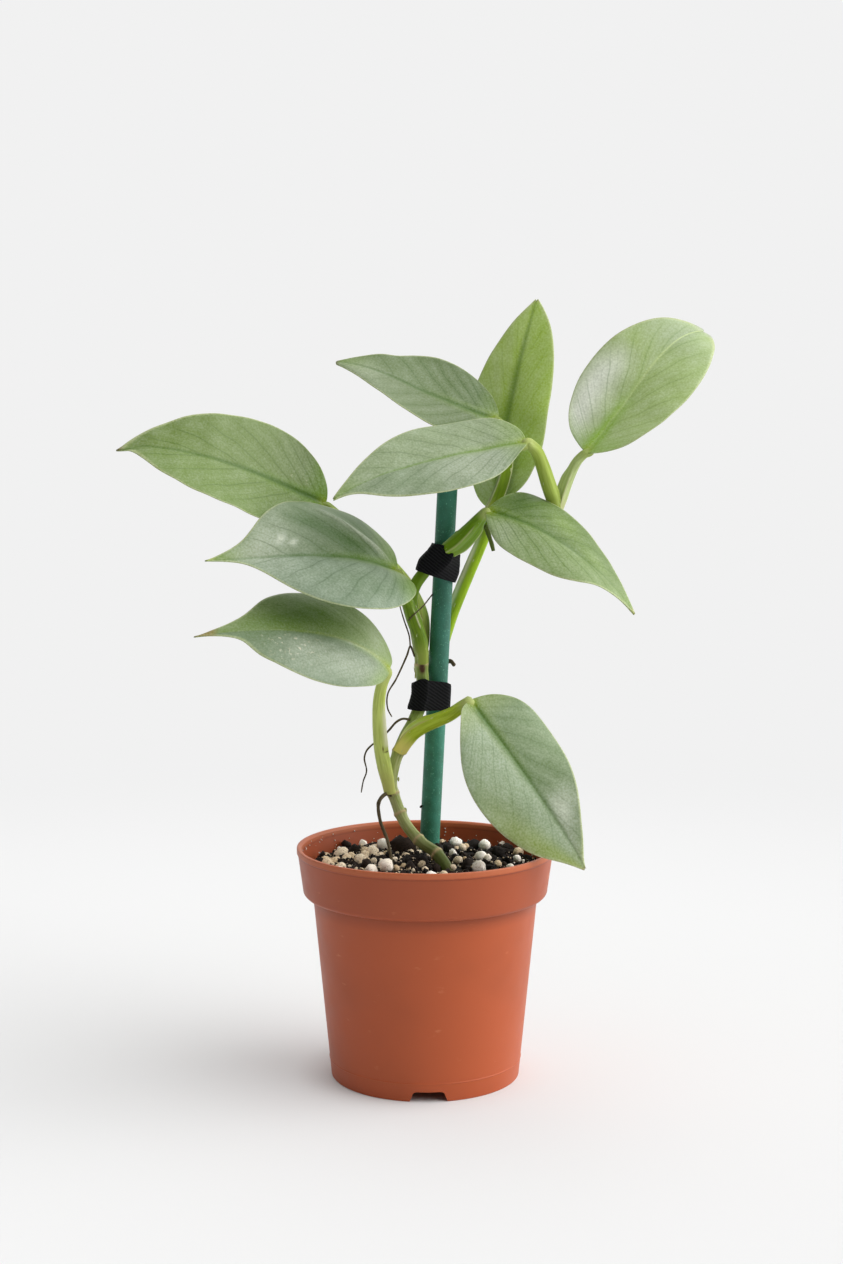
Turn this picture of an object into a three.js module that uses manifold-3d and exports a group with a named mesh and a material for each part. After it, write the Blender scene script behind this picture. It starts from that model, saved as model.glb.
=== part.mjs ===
// Potted philodendron hastatum on a stake, in a nursery pot.
// Millimetres, +Z up, +Y away from the viewer, origin at the centre of the pot's foot.
import * as THREE from "three";
import { LoftGeometry } from "three/addons/geometries/LoftGeometry.js";
import { ParametricGeometry } from "three/addons/geometries/ParametricGeometry.js";
import { mergeGeometries, mergeVertices } from "three/addons/utils/BufferGeometryUtils.js";
import Module from "manifold-3d";

const wasm = await Module();
wasm.setup();

// Driving dimensions of the pot
const POT_RIM_RADIUS = 60;
const POT_HEIGHT = 108.4;
const POT_LIP_HEIGHT = 3;
const POT_COLLAR_TOP_RADIUS = 59;
const POT_COLLAR_FOOT_RADIUS = 57;
const POT_COLLAR_FOOT_Z = 86;
const POT_BODY_TOP_RADIUS = 52.5;
const POT_FOOT_RADIUS = 44.2;
const POT_WALL = 1.4;
const POT_FLOOR_UNDERSIDE = 5.6;
const POT_FLOOR_TOP = 7;
const POT_SEGMENTS = 48;
const FOOT_NOTCH_WIDTH = 15;
const FOOT_NOTCH_HEIGHT = 4.7;
const FOOT_NOTCH_COUNT = 3;
const FOOT_NOTCH_FIRST_ANGLE = -88;
const DRAIN_HOLE_RADIUS = 4;
const DRAIN_HOLE_COUNT = 8;
const DRAIN_RING_RADIUS = 30;

// Driving dimensions of the soil
const SOIL_LEVEL = 98.5;
const SOIL_MOUND = 3;
const SOIL_SIDES = 32;
const GRAIN_COUNT = 56;

// Driving dimensions of the stake, the ties and the stem
const CLEARANCE = 0.3;
const STAKE_RADIUS = 4.75;
const STAKE_COAT = 0.6;
const STAKE_TUBE_WALL = 1;
const STAKE_SIDES = 16;
const TIE_WIDTH = 15;
const TIE_THICKNESS = 1.1;
const TIE_OVERLAP = 0.9;
const TIE_CLEARANCE = 0.45;
const STEM_RADIUS = 3.3;
const BLADE_THICKNESS = 0.7;

// Colours and finishes
const finish = (color, roughness, metalness = 0) =>
  new THREE.MeshStandardMaterial({ color, roughness, metalness });
const TERRACOTTA = finish("#bd6746", 0.45);
const SOIL = finish("#3a2f28", 0.95);
const STAKE_PLASTIC = finish("#1f5a4f", 0.55);
const STEEL = finish("#9a9da0", 0.35, 1);
const TIE_FABRIC = finish("#17181a", 0.9);
const STEM_GREEN = finish("#8d9a5a", 0.5);
const PETIOLE_GREEN = finish("#a5bd62", 0.45);
const BLADE_SILVER = finish("#9db38f", 0.4);
const BLADE_GREEN = finish("#98b36c", 0.45);
const ROOT_BROWN = finish("#7a6a55", 0.8);

const vec = (point) => new THREE.Vector3(...point);
const radians = THREE.MathUtils.degToRad;

// A repeatable draw of numbers from 0 to 1.
function seededRandom(seed) {
  let state = seed;
  return () => {
    state = (state * 1664525 + 1013904223) % 4294967296;
    return state / 4294967296;
  };
}

// Boolean helpers: a closed geometry becomes a solid, and a solid becomes a geometry, in
// which corners that all but touch are made one.
const CORNER_MERGE = 0.02;

function solid(geometry) {
  const bare = new THREE.BufferGeometry();
  bare.setAttribute("position", geometry.getAttribute("position"));
  bare.setIndex(geometry.index);
  const merged = mergeVertices(bare, 1e-4);
  return new wasm.Manifold(new wasm.Mesh({
    numProp: 3,
    vertProperties: merged.attributes.position.array,
    triVerts: new Uint32Array(merged.index.array),
  }));
}

function geometryOf(manifold) {
  const mesh = manifold.getMesh();
  const cut = new THREE.BufferGeometry();
  cut.setAttribute("position", new THREE.BufferAttribute(mesh.vertProperties, 3));
  cut.setIndex(new THREE.BufferAttribute(mesh.triVerts, 1));
  const geometry = mergeVertices(cut, CORNER_MERGE);
  const corners = geometry.index.array;
  const kept = [];
  for (let i = 0; i < corners.length; i += 3) {
    const [a, b, c] = corners.slice(i, i + 3);
    if (a !== b && b !== c && c !== a) kept.push(a, b, c);
  }
  geometry.setIndex(kept);
  geometry.computeVertexNormals();
  return geometry;
}

// The largest body of a cut solid, so that no loose scrap stays.
function mainBody(manifold) {
  const bodies = manifold.decompose();
  return bodies.reduce((a, b) => (b.volume() > a.volume() ? b : a));
}

// A path through hand-placed points, with a ring of offsets carried along it.
// ring(u, angle) is the ring's radius, angle 0 lying on the side named by facing, and
// extra makes the whole piece larger by that much, at its ends too.
function sweep(points, { sides, steps, ring, extra = 0, facing = [0, -1, 0] }) {
  const curve = new THREE.CatmullRomCurve3(points.map(vec));
  const sections = [];
  for (let i = 0; i <= steps; i++) {
    const u = i / steps;
    const centre = curve.getPointAt(u);
    const tangent = curve.getTangentAt(u);
    if (i === 0) centre.addScaledVector(tangent, -extra);
    if (i === steps) centre.addScaledVector(tangent, extra);
    const front = vec(facing).addScaledVector(tangent, -vec(facing).dot(tangent)).normalize();
    const side = tangent.clone().cross(front);
    const section = [];
    for (let k = 0; k < sides; k++) {
      const angle = (k / sides) * 2 * Math.PI;
      const radius = ring(u, angle) + extra;
      section.push(centre.clone()
        .addScaledVector(front, radius * Math.cos(angle))
        .addScaledVector(side, radius * Math.sin(angle)));
    }
    sections.push(section);
  }
  return new LoftGeometry(sections, { closed: true, capStart: true, capEnd: true });
}

// Nursery pot: a lathed wall with a collar and a lip, a raised floor and notches in its foot.
function potGeometry() {
  const collarInner = POT_COLLAR_TOP_RADIUS - POT_WALL;
  const profile = [
    [0, POT_FLOOR_UNDERSIDE],
    [POT_FOOT_RADIUS - 1.6, POT_FLOOR_UNDERSIDE],
    [POT_FOOT_RADIUS - 1.6, 0],
    [POT_FOOT_RADIUS, 0],
    [POT_BODY_TOP_RADIUS, POT_COLLAR_FOOT_Z - 0.6],
    [POT_COLLAR_FOOT_RADIUS - 1.2, POT_COLLAR_FOOT_Z],
    [POT_COLLAR_FOOT_RADIUS, POT_COLLAR_FOOT_Z + 1.2],
    [POT_COLLAR_TOP_RADIUS, POT_HEIGHT - POT_LIP_HEIGHT],
    [POT_RIM_RADIUS, POT_HEIGHT - POT_LIP_HEIGHT + 0.5],
    [POT_RIM_RADIUS, POT_HEIGHT - 0.5],
    [POT_RIM_RADIUS - 0.6, POT_HEIGHT],
    [collarInner + 0.4, POT_HEIGHT],
    [collarInner - 0.1, POT_HEIGHT - 0.8],
    [POT_COLLAR_FOOT_RADIUS - POT_WALL, POT_COLLAR_FOOT_Z + 1.8],
    [POT_BODY_TOP_RADIUS - POT_WALL, POT_COLLAR_FOOT_Z + 0.8],
    [POT_FOOT_RADIUS - POT_WALL + 0.6, POT_FLOOR_TOP],
    [0, POT_FLOOR_TOP],
  ].map(([radius, z]) => new THREE.Vector2(radius, z));
  const wall = new THREE.LatheGeometry(profile, POT_SEGMENTS).rotateX(Math.PI / 2);
  let pot = solid(wall);
  for (let i = 0; i < FOOT_NOTCH_COUNT; i++) {
    const angle = radians(FOOT_NOTCH_FIRST_ANGLE) + (i / FOOT_NOTCH_COUNT) * 2 * Math.PI;
    pot = pot.subtract(solid(footNotch().rotateZ(angle)));
  }
  const drill = new THREE.CylinderGeometry(DRAIN_HOLE_RADIUS, DRAIN_HOLE_RADIUS, 10, 12)
    .rotateX(Math.PI / 2)
    .translate(0, 0, POT_FLOOR_TOP);
  pot = pot.subtract(solid(drill));
  for (let i = 0; i < DRAIN_HOLE_COUNT; i++) {
    const hole = drill.clone().translate(DRAIN_RING_RADIUS, 0, 0);
    pot = pot.subtract(solid(hole.rotateZ((i / DRAIN_HOLE_COUNT) * 2 * Math.PI)));
  }
  return geometryOf(pot);
}

// One notch of the foot: a flat arch with round upper corners, pushed out through the wall.
function footNotch() {
  const half = FOOT_NOTCH_WIDTH / 2;
  const corner = 2;
  const arch = new THREE.Shape();
  arch.moveTo(-half, -1);
  arch.lineTo(half, -1);
  arch.lineTo(half, FOOT_NOTCH_HEIGHT - corner);
  arch.absarc(half - corner, FOOT_NOTCH_HEIGHT - corner, corner, 0, Math.PI / 2);
  arch.absarc(corner - half, FOOT_NOTCH_HEIGHT - corner, corner, Math.PI / 2, Math.PI);
  arch.closePath();
  const depth = 12;
  return new THREE.ExtrudeGeometry(arch, { depth, bevelEnabled: false, curveSegments: 4 })
    .rotateX(Math.PI / 2)
    .rotateZ(Math.PI / 2)
    .translate(POT_FOOT_RADIUS - depth / 2, 0, 0);
}

// Height of the soil's surface, a low mound with small lumps.
function soilHeight(x, y) {
  const reach = Math.hypot(x, y) / POT_COLLAR_FOOT_RADIUS;
  const mound = SOIL_MOUND * (1 - reach * reach);
  const lumps = 0.7 * Math.sin(x * 0.33 + 1) * Math.cos(y * 0.29)
    + 0.4 * Math.sin(x * 0.71 - y * 0.53 + 2);
  return SOIL_LEVEL + mound + lumps;
}

// The soil fills the pot's inside with a small gap, and its grains stand out of its surface.
function soilBody() {
  const gap = CLEARANCE;
  const walls = [
    [POT_FOOT_RADIUS - POT_WALL + 0.2 - gap, POT_FLOOR_TOP + gap],
    [POT_BODY_TOP_RADIUS - POT_WALL - 1.5 * gap, POT_COLLAR_FOOT_Z + 1.3],
    [POT_COLLAR_FOOT_RADIUS - POT_WALL - 1.5 * gap, POT_COLLAR_FOOT_Z + 2.3],
    [POT_COLLAR_FOOT_RADIUS - POT_WALL + gap, SOIL_LEVEL - 1.5],
  ];
  const ring = (radius, heightAt) => {
    const section = [];
    for (let k = 0; k < SOIL_SIDES; k++) {
      const angle = (k / SOIL_SIDES) * 2 * Math.PI;
      const x = radius * Math.cos(angle);
      const y = radius * Math.sin(angle);
      section.push(new THREE.Vector3(x, y, heightAt(x, y)));
    }
    return section;
  };
  const sections = walls.map(([radius, z]) => ring(radius, () => z));
  for (const radius of [50, 41, 32, 23, 14]) sections.push(ring(radius, soilHeight));
  sections.push(ring(6, () => SOIL_LEVEL + SOIL_MOUND + 1));
  let body = solid(new LoftGeometry(sections, { closed: true, capStart: true, capEnd: true }));
  body = body.add(wasm.Manifold.union(grains()));
  return body;
}

// Perlite and pumice grains: many small ones drawn at random, crowded on the left,
// and the few large ones that stand out, at their own places.
function grains() {
  const random = seededRandom(11);
  const large = [
    [10, 24, 3], [24, 22, 3.4], [23.5, 8, 2.6], [22, -4, 3.4], [36, 17, 2.6], [-22, -5, 3.2],
    [-15, -6, 3], [-33, 8, 2.8], [-24, 10, 2.6], [-12, 22, 2.4], [40, -8, 2.6], [8, -34, 2.8],
    [-30, -30, 2.6], [30, -32, 2.6],
  ];
  const places = [...large];
  while (places.length < GRAIN_COUNT) {
    const crowded = random() < 0.55;
    const angle = random() * 2 * Math.PI;
    const reach = Math.sqrt(random());
    const x = crowded ? -18 + 27 * reach * Math.cos(angle) : 51 * reach * Math.cos(angle);
    const y = crowded ? 2 + 24 * reach * Math.sin(angle) : 51 * reach * Math.sin(angle);
    const size = 1.2 + 1.2 * random();
    if (Math.hypot(x, y) < 51) places.push([x, y, size]);
  }
  return places.map(([x, y, size]) => solid(new THREE.IcosahedronGeometry(size, 0)
    .rotateX(random() * 3)
    .rotateZ(random() * 3)
    .scale(1, 1, 0.8)
    .translate(x, y, soilHeight(x, y) + 0.25 * size)));
}

// The stake leans a little to the right.
const STAKE_FOOT = vec([-2.4, 19.8, 14]);
const STAKE_TOP = vec([11.3, 21, 292]);
const stakeAxis = STAKE_TOP.clone().sub(STAKE_FOOT);
const STAKE_LENGTH = stakeAxis.length();
stakeAxis.normalize();

// A lathed piece set on the stake's axis, its profile running up from the stake's foot.
function onStake(profile) {
  const points = profile.map(([radius, height]) => new THREE.Vector2(radius, height));
  const lean = new THREE.Quaternion().setFromUnitVectors(vec([0, 1, 0]), stakeAxis);
  return new THREE.LatheGeometry(points, STAKE_SIDES)
    .applyQuaternion(lean)
    .translate(STAKE_FOOT.x, STAKE_FOOT.y, STAKE_FOOT.z);
}

const COAT_FROM = 9;
const COAT_TO = STAKE_LENGTH - 6;
const TUBE_RADIUS = STAKE_RADIUS - STAKE_COAT - CLEARANCE;
const TUBE_BORE = TUBE_RADIUS - STAKE_TUBE_WALL;
const PLUG_RADIUS = TUBE_BORE - CLEARANCE;
const PLUG_DEPTH = 8;

// A plastic coat over a steel tube, with a plug-in point below and a plug-in cap above.
function stakeCoat() {
  const bore = TUBE_RADIUS + CLEARANCE;
  return onStake([
    [bore, COAT_FROM],
    [STAKE_RADIUS, COAT_FROM],
    [STAKE_RADIUS, COAT_TO],
    [bore, COAT_TO],
    [bore, COAT_FROM],
  ]);
}

const stakeTube = () => onStake([
  [TUBE_BORE, COAT_FROM],
  [TUBE_RADIUS, COAT_FROM],
  [TUBE_RADIUS, COAT_TO],
  [TUBE_BORE, COAT_TO],
  [TUBE_BORE, COAT_FROM],
]);

const stakePoint = () => onStake([
  [0, 0],
  [0.8, 0],
  [STAKE_RADIUS, COAT_FROM - CLEARANCE],
  [PLUG_RADIUS, COAT_FROM - CLEARANCE],
  [PLUG_RADIUS, COAT_FROM + PLUG_DEPTH],
  [0, COAT_FROM + PLUG_DEPTH],
]);

const stakeCap = () => onStake([
  [0, COAT_TO - PLUG_DEPTH],
  [PLUG_RADIUS, COAT_TO - PLUG_DEPTH],
  [PLUG_RADIUS, COAT_TO + CLEARANCE],
  [STAKE_RADIUS, COAT_TO + CLEARANCE],
  [STAKE_RADIUS, STAKE_LENGTH - 2.5],
  [STAKE_RADIUS - 2, STAKE_LENGTH - 0.4],
  [0, STAKE_LENGTH],
]);

// The main stem: out of the soil in front of the stake, up its left side and over it.
const STEM_PATH = [
  [16, -24, 62], [16.5, -22, 80], [14.5, -20, 91], [11.5, -18, 98.5], [5.5, -12, 107], [-1, -8, 111],
  [-5, -5, 114.5], [-9, -2, 120], [-12, 1, 128], [-14.5, 2.5, 136.5], [-13.5, 4, 145.5],
  [-12, 6, 152.5], [-9, 8, 159], [-5.5, 10, 165], [-1, 13, 176.5], [-1, 13.5, 184.5],
  [-1.5, 14, 191], [-2.5, 15, 198.5], [-4, 15, 207], [-5.5, 15, 216], [-6.3, 13, 223.5],
  [-4.5, 11, 229.5], [-0.8, 10, 235], [6, 10, 242.5], [12.5, 10, 248], [21, 10.5, 253.8],
  [27.5, 11, 258.4], [33.5, 12, 261], [42, 13, 263], [51, 13, 264], [60, 12.5, 263.5], [65, 12, 262],
];
const STEM_STEPS = 64;
const STEM_SIDES = 8;
const stemCurve = new THREE.CatmullRomCurve3(STEM_PATH.map(vec));

// Shares of the stem's length at which its nodes stand out as rings.
const NODE_RINGS = [0.185, 0.232, 0.29, 0.36, 0.5, 0.62, 0.81, 0.955];
const NODE_SWELL = 0.7;
const NODE_SPREAD = 0.006;

function stemRadius(u) {
  const swell = NODE_RINGS.reduce(
    (sum, at) => sum + NODE_SWELL * Math.exp(-(((u - at) / NODE_SPREAD) ** 2)), 0);
  const taper = 1 - 0.12 * u;
  const roundEnd = u > 0.985 ? Math.sqrt(Math.max(1 - ((u - 0.985) / 0.0153) ** 2, 0.02)) : 1;
  return (STEM_RADIUS * taper + swell) * roundEnd;
}

const stemSweep = (extra) => sweep(STEM_PATH, {
  sides: STEM_SIDES,
  steps: STEM_STEPS,
  ring: stemRadius,
  extra,
});

// Roots that spread from the buried foot of the stem, and a short stub below a node.
const BURIED_ROOT_RADIUS = 1.6;
const STUB_RADIUS = 1.3;
const BURIED_ROOTS = [
  [[16, -24, 66], [6, -30, 58], [-8, -32, 44], [-20, -26, 28]],
  [[16, -24, 68], [26, -20, 58], [32, -6, 44], [30, 10, 26]],
  [[16, -24, 64], [18, -34, 52], [26, -36, 36], [22, -30, 20]],
  [[16, -24, 70], [12, -14, 58], [6, -6, 40], [10, 0, 20]],
];
const STUBS = [
  [[28.5, 10.5, 258], [31.5, 8.5, 252], [32.8, 7.5, 249], [32.5, 7, 246.5]],
];

const rootSweep = (points, radius, extra = 0) => sweep(points, {
  sides: 5,
  steps: points.length * 2,
  ring: (u) => radius * (1 - 0.55 * u),
  extra,
  facing: [0.3, -0.2, 1],
});

function stemSolid(extra) {
  const pieces = [solid(stemSweep(extra))];
  for (const path of BURIED_ROOTS) pieces.push(solid(rootSweep(path, BURIED_ROOT_RADIUS, extra)));
  for (const path of STUBS) pieces.push(solid(rootSweep(path, STUB_RADIUS, extra)));
  return wasm.Manifold.union(pieces);
}

// Aerial roots, each from a node of the stem.
const AERIAL_ROOTS = {
  aerial_root_soil: {
    radius: 1.15,
    path: [[-15.5, 0.5, 132], [-18.5, -2, 133], [-21.5, -5, 130], [-21, -8, 122.5], [-17.5, -13, 114.5],
      [-15.5, -16.5, 107], [-15, -19, 99], [-14, -20, 90]],
  },
  aerial_root_left: {
    radius: 0.65,
    path: [[-7, 8, 166.5], [-10.5, 7.5, 167], [-13.5, 7.5, 165.5], [-17, 8, 161.5], [-21, 8.5, 157.5],
      [-24.5, 8, 155], [-27.5, 7, 152], [-28.5, 6, 148.5], [-27.5, 6, 142.5], [-29, 5, 138],
      [-30, 4, 132.5]],
  },
  aerial_root_middle: {
    radius: 0.65,
    path: [[-5, 12, 196], [-7, 9.5, 201], [-8.5, 8.5, 197], [-13.5, 8, 186], [-17.5, 6, 179],
      [-17.5, 4, 172.5], [-15.5, 3, 168.5]],
  },
  aerial_root_behind: {
    radius: 0.8,
    path: [[-1.5, 17.5, 187.5], [-0.5, 23, 186], [4, 27, 186.5], [9, 27.5, 190], [12, 26.5, 192],
      [14.2, 25.5, 189.8]],
  },
};

// Petioles. wide is the radius at the foot, slim at the blade, sheath the share of the
// length that is winged, and facing the side on which the channel lies.
const PETIOLES = {
  petiole_1: {
    wide: 2.9, slim: 1.9, sheath: 0.3, facing: [0.6, -0.5, 0.6],
    path: [[-2.5, 17.5, 195], [-1.5, 22.5, 202], [-2, 23, 214.5], [-6, 22.5, 225.5], [-12, 22, 234],
      [-23.5, 21, 246.5], [-36.5, 19.5, 259.5], [-43, 18.5, 265.5], [-46.5, 18, 267]],
  },
  petiole_2: {
    wide: 4.2, slim: 2.3, sheath: 0.6, facing: [1, -0.5, 0.4],
    path: [[-1.5, 11, 193.5], [-1.5, 10, 201.5], [-3, 8.5, 208.5], [-5.5, 5.5, 217.5],
      [-9.5, 1, 226.5], [-11.5, -2.5, 232.5], [-12.5, -4, 237]],
  },
  petiole_3: {
    wide: 4.2, slim: 2.3, sheath: 0.7, facing: [1, -0.4, 0],
    path: [[-15, 0.5, 133], [-17.5, -0.5, 140.5], [-20, -1.5, 148], [-20.5, -2.5, 156.5],
      [-21.5, -5, 168.5], [-21, -7.5, 178], [-19.5, -10, 186], [-16.5, -12, 192.5]],
  },
  petiole_4: {
    wide: 2.9, slim: 2.1, sheath: 0.8, facing: [0.3, -1, 0],
    path: [[27, 14, 260.5], [30, 16, 264], [33.5, 16.5, 271], [36.5, 16.5, 279.5], [38, 16.5, 288],
      [37.5, 16, 297], [35, 16, 303], [34, 16, 306.5]],
  },
  petiole_5: {
    wide: 3.7, slim: 2.4, sheath: 0.85, facing: [0.8, -0.6, 0.2],
    path: [[60, 9.5, 265], [59.5, 8, 269.5], [57, 5, 276.5], [53.5, 1, 286.5], [50.5, -4, 292.5],
      [46, -8, 296.5]],
  },
  petiole_6: {
    wide: 3, slim: 2.7, sheath: 0.85, facing: [-0.8, -0.6, 0], steps: 18,
    path: [[-2.9, 17, 187.5], [-2.6, 21.5, 188.5], [-0.6, 26.4, 190.2], [3.4, 29.6, 193], [7.5, 30.3, 198],
      [10.2, 30, 206], [12.8, 30, 214], [17.5, 29, 226], [20.8, 28.5, 234], [25.4, 27.5, 245], [28.6, 27, 253],
      [31.5, 26.5, 260], [34, 26, 265]],
  },
  petiole_7: {
    wide: 2.8, slim: 2, sheath: 0.6, facing: [-0.7, -0.7, 0.2],
    path: [[62, 12, 265], [64, 11.5, 272], [67, 10.5, 280.5], [70.5, 9, 287.5], [74.5, 8, 291.5]],
  },
  petiole_8: {
    wide: 3.4, slim: 2.2, sheath: 0.7, facing: [0.4, -0.6, -0.8],
    path: [[12, 9, 249.4], [17, 6.5, 254.2], [22, 2.5, 259.2], [25.8, -2.2, 263.4], [28, -6, 265]],
  },
  petiole_9: {
    wide: 3.9, slim: 2.7, sheath: 0.55, facing: [0, -0.3, 1],
    path: [[-11, 4.5, 153], [-8.5, 2, 159.5], [-4, 0, 165], [2, -1, 168], [8, -2.5, 170.5],
      [13.5, -5.5, 173], [17, -8.5, 176], [20.5, -12, 178.5]],
  },
};
const PETIOLE_SIDES = 10;
const PETIOLE_STEPS = 11;

// Radius of a petiole: round, with a shallow channel on its facing side and, over the
// sheathed part, two low wings beside the channel.
function petioleRadius({ wide, slim, sheath }, u, angle) {
  const body = THREE.MathUtils.lerp(wide, slim, u * u);
  const turn = Math.abs(angle > Math.PI ? angle - 2 * Math.PI : angle);
  const fade = THREE.MathUtils.smoothstep(sheath - u, -0.08, 0.12);
  const wings = 0.22 * fade * Math.exp(-(((turn - 0.9) / 0.35) ** 2));
  const channel = 0.2 * Math.exp(-((turn / 0.5) ** 2));
  return body * (1 + wings - channel);
}

const petioleSweep = (petiole, extra) => sweep(petiole.path, {
  sides: PETIOLE_SIDES,
  steps: petiole.steps ?? PETIOLE_STEPS,
  ring: (u, angle) => petioleRadius(petiole, u, angle),
  extra,
  facing: petiole.facing,
});

// Leaf blades. A blade leaves its petiole at base, along azimuth and rise, turned by roll
// about its midrib. a and b are its two halves: half width, share of the length at which
// the half is widest, share that its lobe reaches back, and how fast it narrows.
const BLADES = {
  blade_1: {
    base: [-46.5, 18, 267], azimuth: -152, rise: 25, roll: -64, length: 98, tip: 0.04, shoulder: 1.2,
    a: { wide: 27.5, at: 0.34, lobe: 0.05, narrow: 1.2 },
    b: { wide: 27.5, at: 0.38, lobe: 0.02, narrow: 1.2 },
    droop: 0.08, curl: 0.16, bow: 0.06, twist: 16, fold: 0.1, cup: -0.08,
  },
  blade_2: {
    base: [-12.5, -4, 237], azimuth: -135, rise: 22, roll: -38, length: 80, tip: 0.16, shoulder: 1.1,
    a: { wide: 32, at: 0.34, lobe: 0.07, narrow: 1.7 },
    b: { wide: 33, at: 0.5, lobe: 0.12, narrow: 1.3 },
    droop: 0.56, curl: -0.06, bow: -0.14, twist: -22, fold: 0.34, cup: 0.32,
  },
  blade_3: {
    base: [-16.5, -12, 192.5], azimuth: -132, rise: 44, roll: -62, length: 71, tip: 0.12, shoulder: 1.1,
    a: { wide: 26, at: 0.48, lobe: -0.02, narrow: 1.6 },
    b: { wide: 27, at: 0.58, lobe: 0.11, narrow: 1.3 },
    droop: 0.62, curl: 0.06, bow: 0.28, twist: 1, fold: 0.02, cup: 0.18,
  },
  blade_4: {
    base: [34, 16, 306.5], azimuth: 176, rise: 17, roll: -40, length: 81, tip: 0.26, shoulder: 1.1,
    a: { wide: 22, at: 0.3, lobe: 0.05, narrow: 0.7 },
    b: { wide: 22, at: 0.34, lobe: -0.01, narrow: 0.8 },
    droop: -0.16, curl: 0.16, bow: -0.06, twist: 3, fold: 0.02, cup: -0.1,
  },
  blade_5: {
    base: [46, -8, 296.5], azimuth: -167, rise: -10, roll: -33, length: 96, tip: 0.14, shoulder: 1.1,
    a: { wide: 22.5, at: 0.36, lobe: -0.04, narrow: 1.2 },
    b: { wide: 22.5, at: 0.26, lobe: 0.03, narrow: 0.9 },
    droop: -0.1, curl: 0.1, bow: 0.18, twist: -18, fold: 0.26, cup: 0.2,
  },
  blade_6: {
    base: [34, 26, 265], azimuth: 17, rise: 87, roll: 22, length: 100, tip: 0.08, shoulder: 1.2,
    a: { wide: 22.5, at: 0.36, lobe: 0.04, narrow: 1.1 },
    b: { wide: 22.5, at: 0.28, lobe: -0.03, narrow: 0.9 },
    droop: 0.2, curl: -0.02, bow: 0, twist: 36, fold: 0.18, cup: 0.2,
  },
  blade_7: {
    base: [74.5, 8, 291.5], azimuth: 24, rise: 45, roll: 23, length: 87, tip: -0.04, shoulder: 1.1,
    a: { wide: 25, at: 0.34, lobe: 0, narrow: 1.5 },
    b: { wide: 26, at: 0.34, lobe: 0.01, narrow: 0.9 },
    droop: -0.18, curl: 0.28, bow: 0.04, twist: 44, fold: 0.16, cup: -0.08,
  },
  blade_8: {
    base: [28, -6, 265], azimuth: -17, rise: -13, roll: 41, length: 77, tip: 0.14, shoulder: 1.2,
    a: { wide: 23, at: 0.32, lobe: -0.01, narrow: 1 },
    b: { wide: 22.5, at: 0.4, lobe: -0.01, narrow: 1.3 },
    droop: 0.18, curl: 0.08, bow: -0.26, twist: -25, fold: 0.16, cup: 0.2,
  },
  blade_9: {
    base: [20.5, -12, 178.5], azimuth: -11, rise: -52, roll: 42, length: 92, tip: 0.12, shoulder: 1.4,
    a: { wide: 25, at: 0.28, lobe: 0.01, narrow: 1.5 },
    b: { wide: 26, at: 0.42, lobe: 0.03, narrow: 0.9 },
    droop: -0.16, curl: 0.02, bow: -0.16, twist: 32, fold: 0.22, cup: 0.26,
  },
};
const BLADE_ROWS = 12;
const BLADE_COLUMNS = 8;
const BLADE_START = 0.06;
const MIDRIB_HEIGHT = 1.1;

// Outline of one half in the leaf's plane: q runs from the sinus at the petiole, round the
// base lobe on an ellipse, to the widest place at q = 0.5 and on to the drawn-out tip.
function halfOutline(blade, half, q) {
  const widestX = half.at * blade.length;
  const lobe = half.lobe * blade.length;
  const tip = blade.tip * blade.length;
  if (q < 0.5) {
    const angle = Math.PI * (1 - q);
    const sinus = lobe * Math.exp(-(((Math.PI - angle) / 0.35) ** 2));
    return {
      x: widestX + (widestX + lobe) * Math.cos(angle) + sinus,
      y: half.wide * Math.sin(angle) ** blade.shoulder,
    };
  }
  const b = 2 * q - 1;
  const quarter = (Math.PI / 2) * b;
  return {
    x: widestX + (blade.length - tip - widestX) * Math.sin(quarter) + tip * b ** 6,
    y: half.wide * Math.max(Math.cos(quarter), 0) ** half.narrow,
  };
}

// The leaf's own axes at its base: along the midrib, across it, and out of the upper face.
function bladeAxes({ azimuth, rise, roll }) {
  const turn = radians(azimuth);
  const lift = radians(rise);
  const along = new THREE.Vector3(
    Math.cos(lift) * Math.cos(turn), Math.cos(lift) * Math.sin(turn), Math.sin(lift));
  const level = new THREE.Vector3(-Math.sin(turn), Math.cos(turn), 0);
  const across = level.applyAxisAngle(along, radians(roll));
  const out = along.clone().cross(across);
  return { along, across, out };
}

// A point x along and y across the flat leaf, carried onto the bent one: the midrib droops,
// curls at its tip and bows sideways, and the halves fold up, cup and twist about it.
function bentPoint(blade, axes, x, y) {
  const { along, across, out } = axes;
  const half = y > 0 ? blade.a : blade.b;
  const t = Math.max(x / blade.length, 0);
  const twist = radians(blade.twist) * t;
  const acrossHere = across.clone().multiplyScalar(Math.cos(twist)).addScaledVector(out, Math.sin(twist));
  const outHere = out.clone().multiplyScalar(Math.cos(twist)).addScaledVector(across, -Math.sin(twist));
  const fold = blade.fold * (Math.sqrt(y * y + 2.25) - 1.5);
  const cup = (blade.cup * y * y) / half.wide;
  return vec(blade.base)
    .addScaledVector(along, x)
    .addScaledVector(out, -blade.length * (blade.droop * t * t + blade.curl * t ** 5))
    .addScaledVector(across, blade.length * blade.bow * t * t)
    .addScaledVector(acrossHere, y)
    .addScaledVector(outHere, fold - cup);
}

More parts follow.
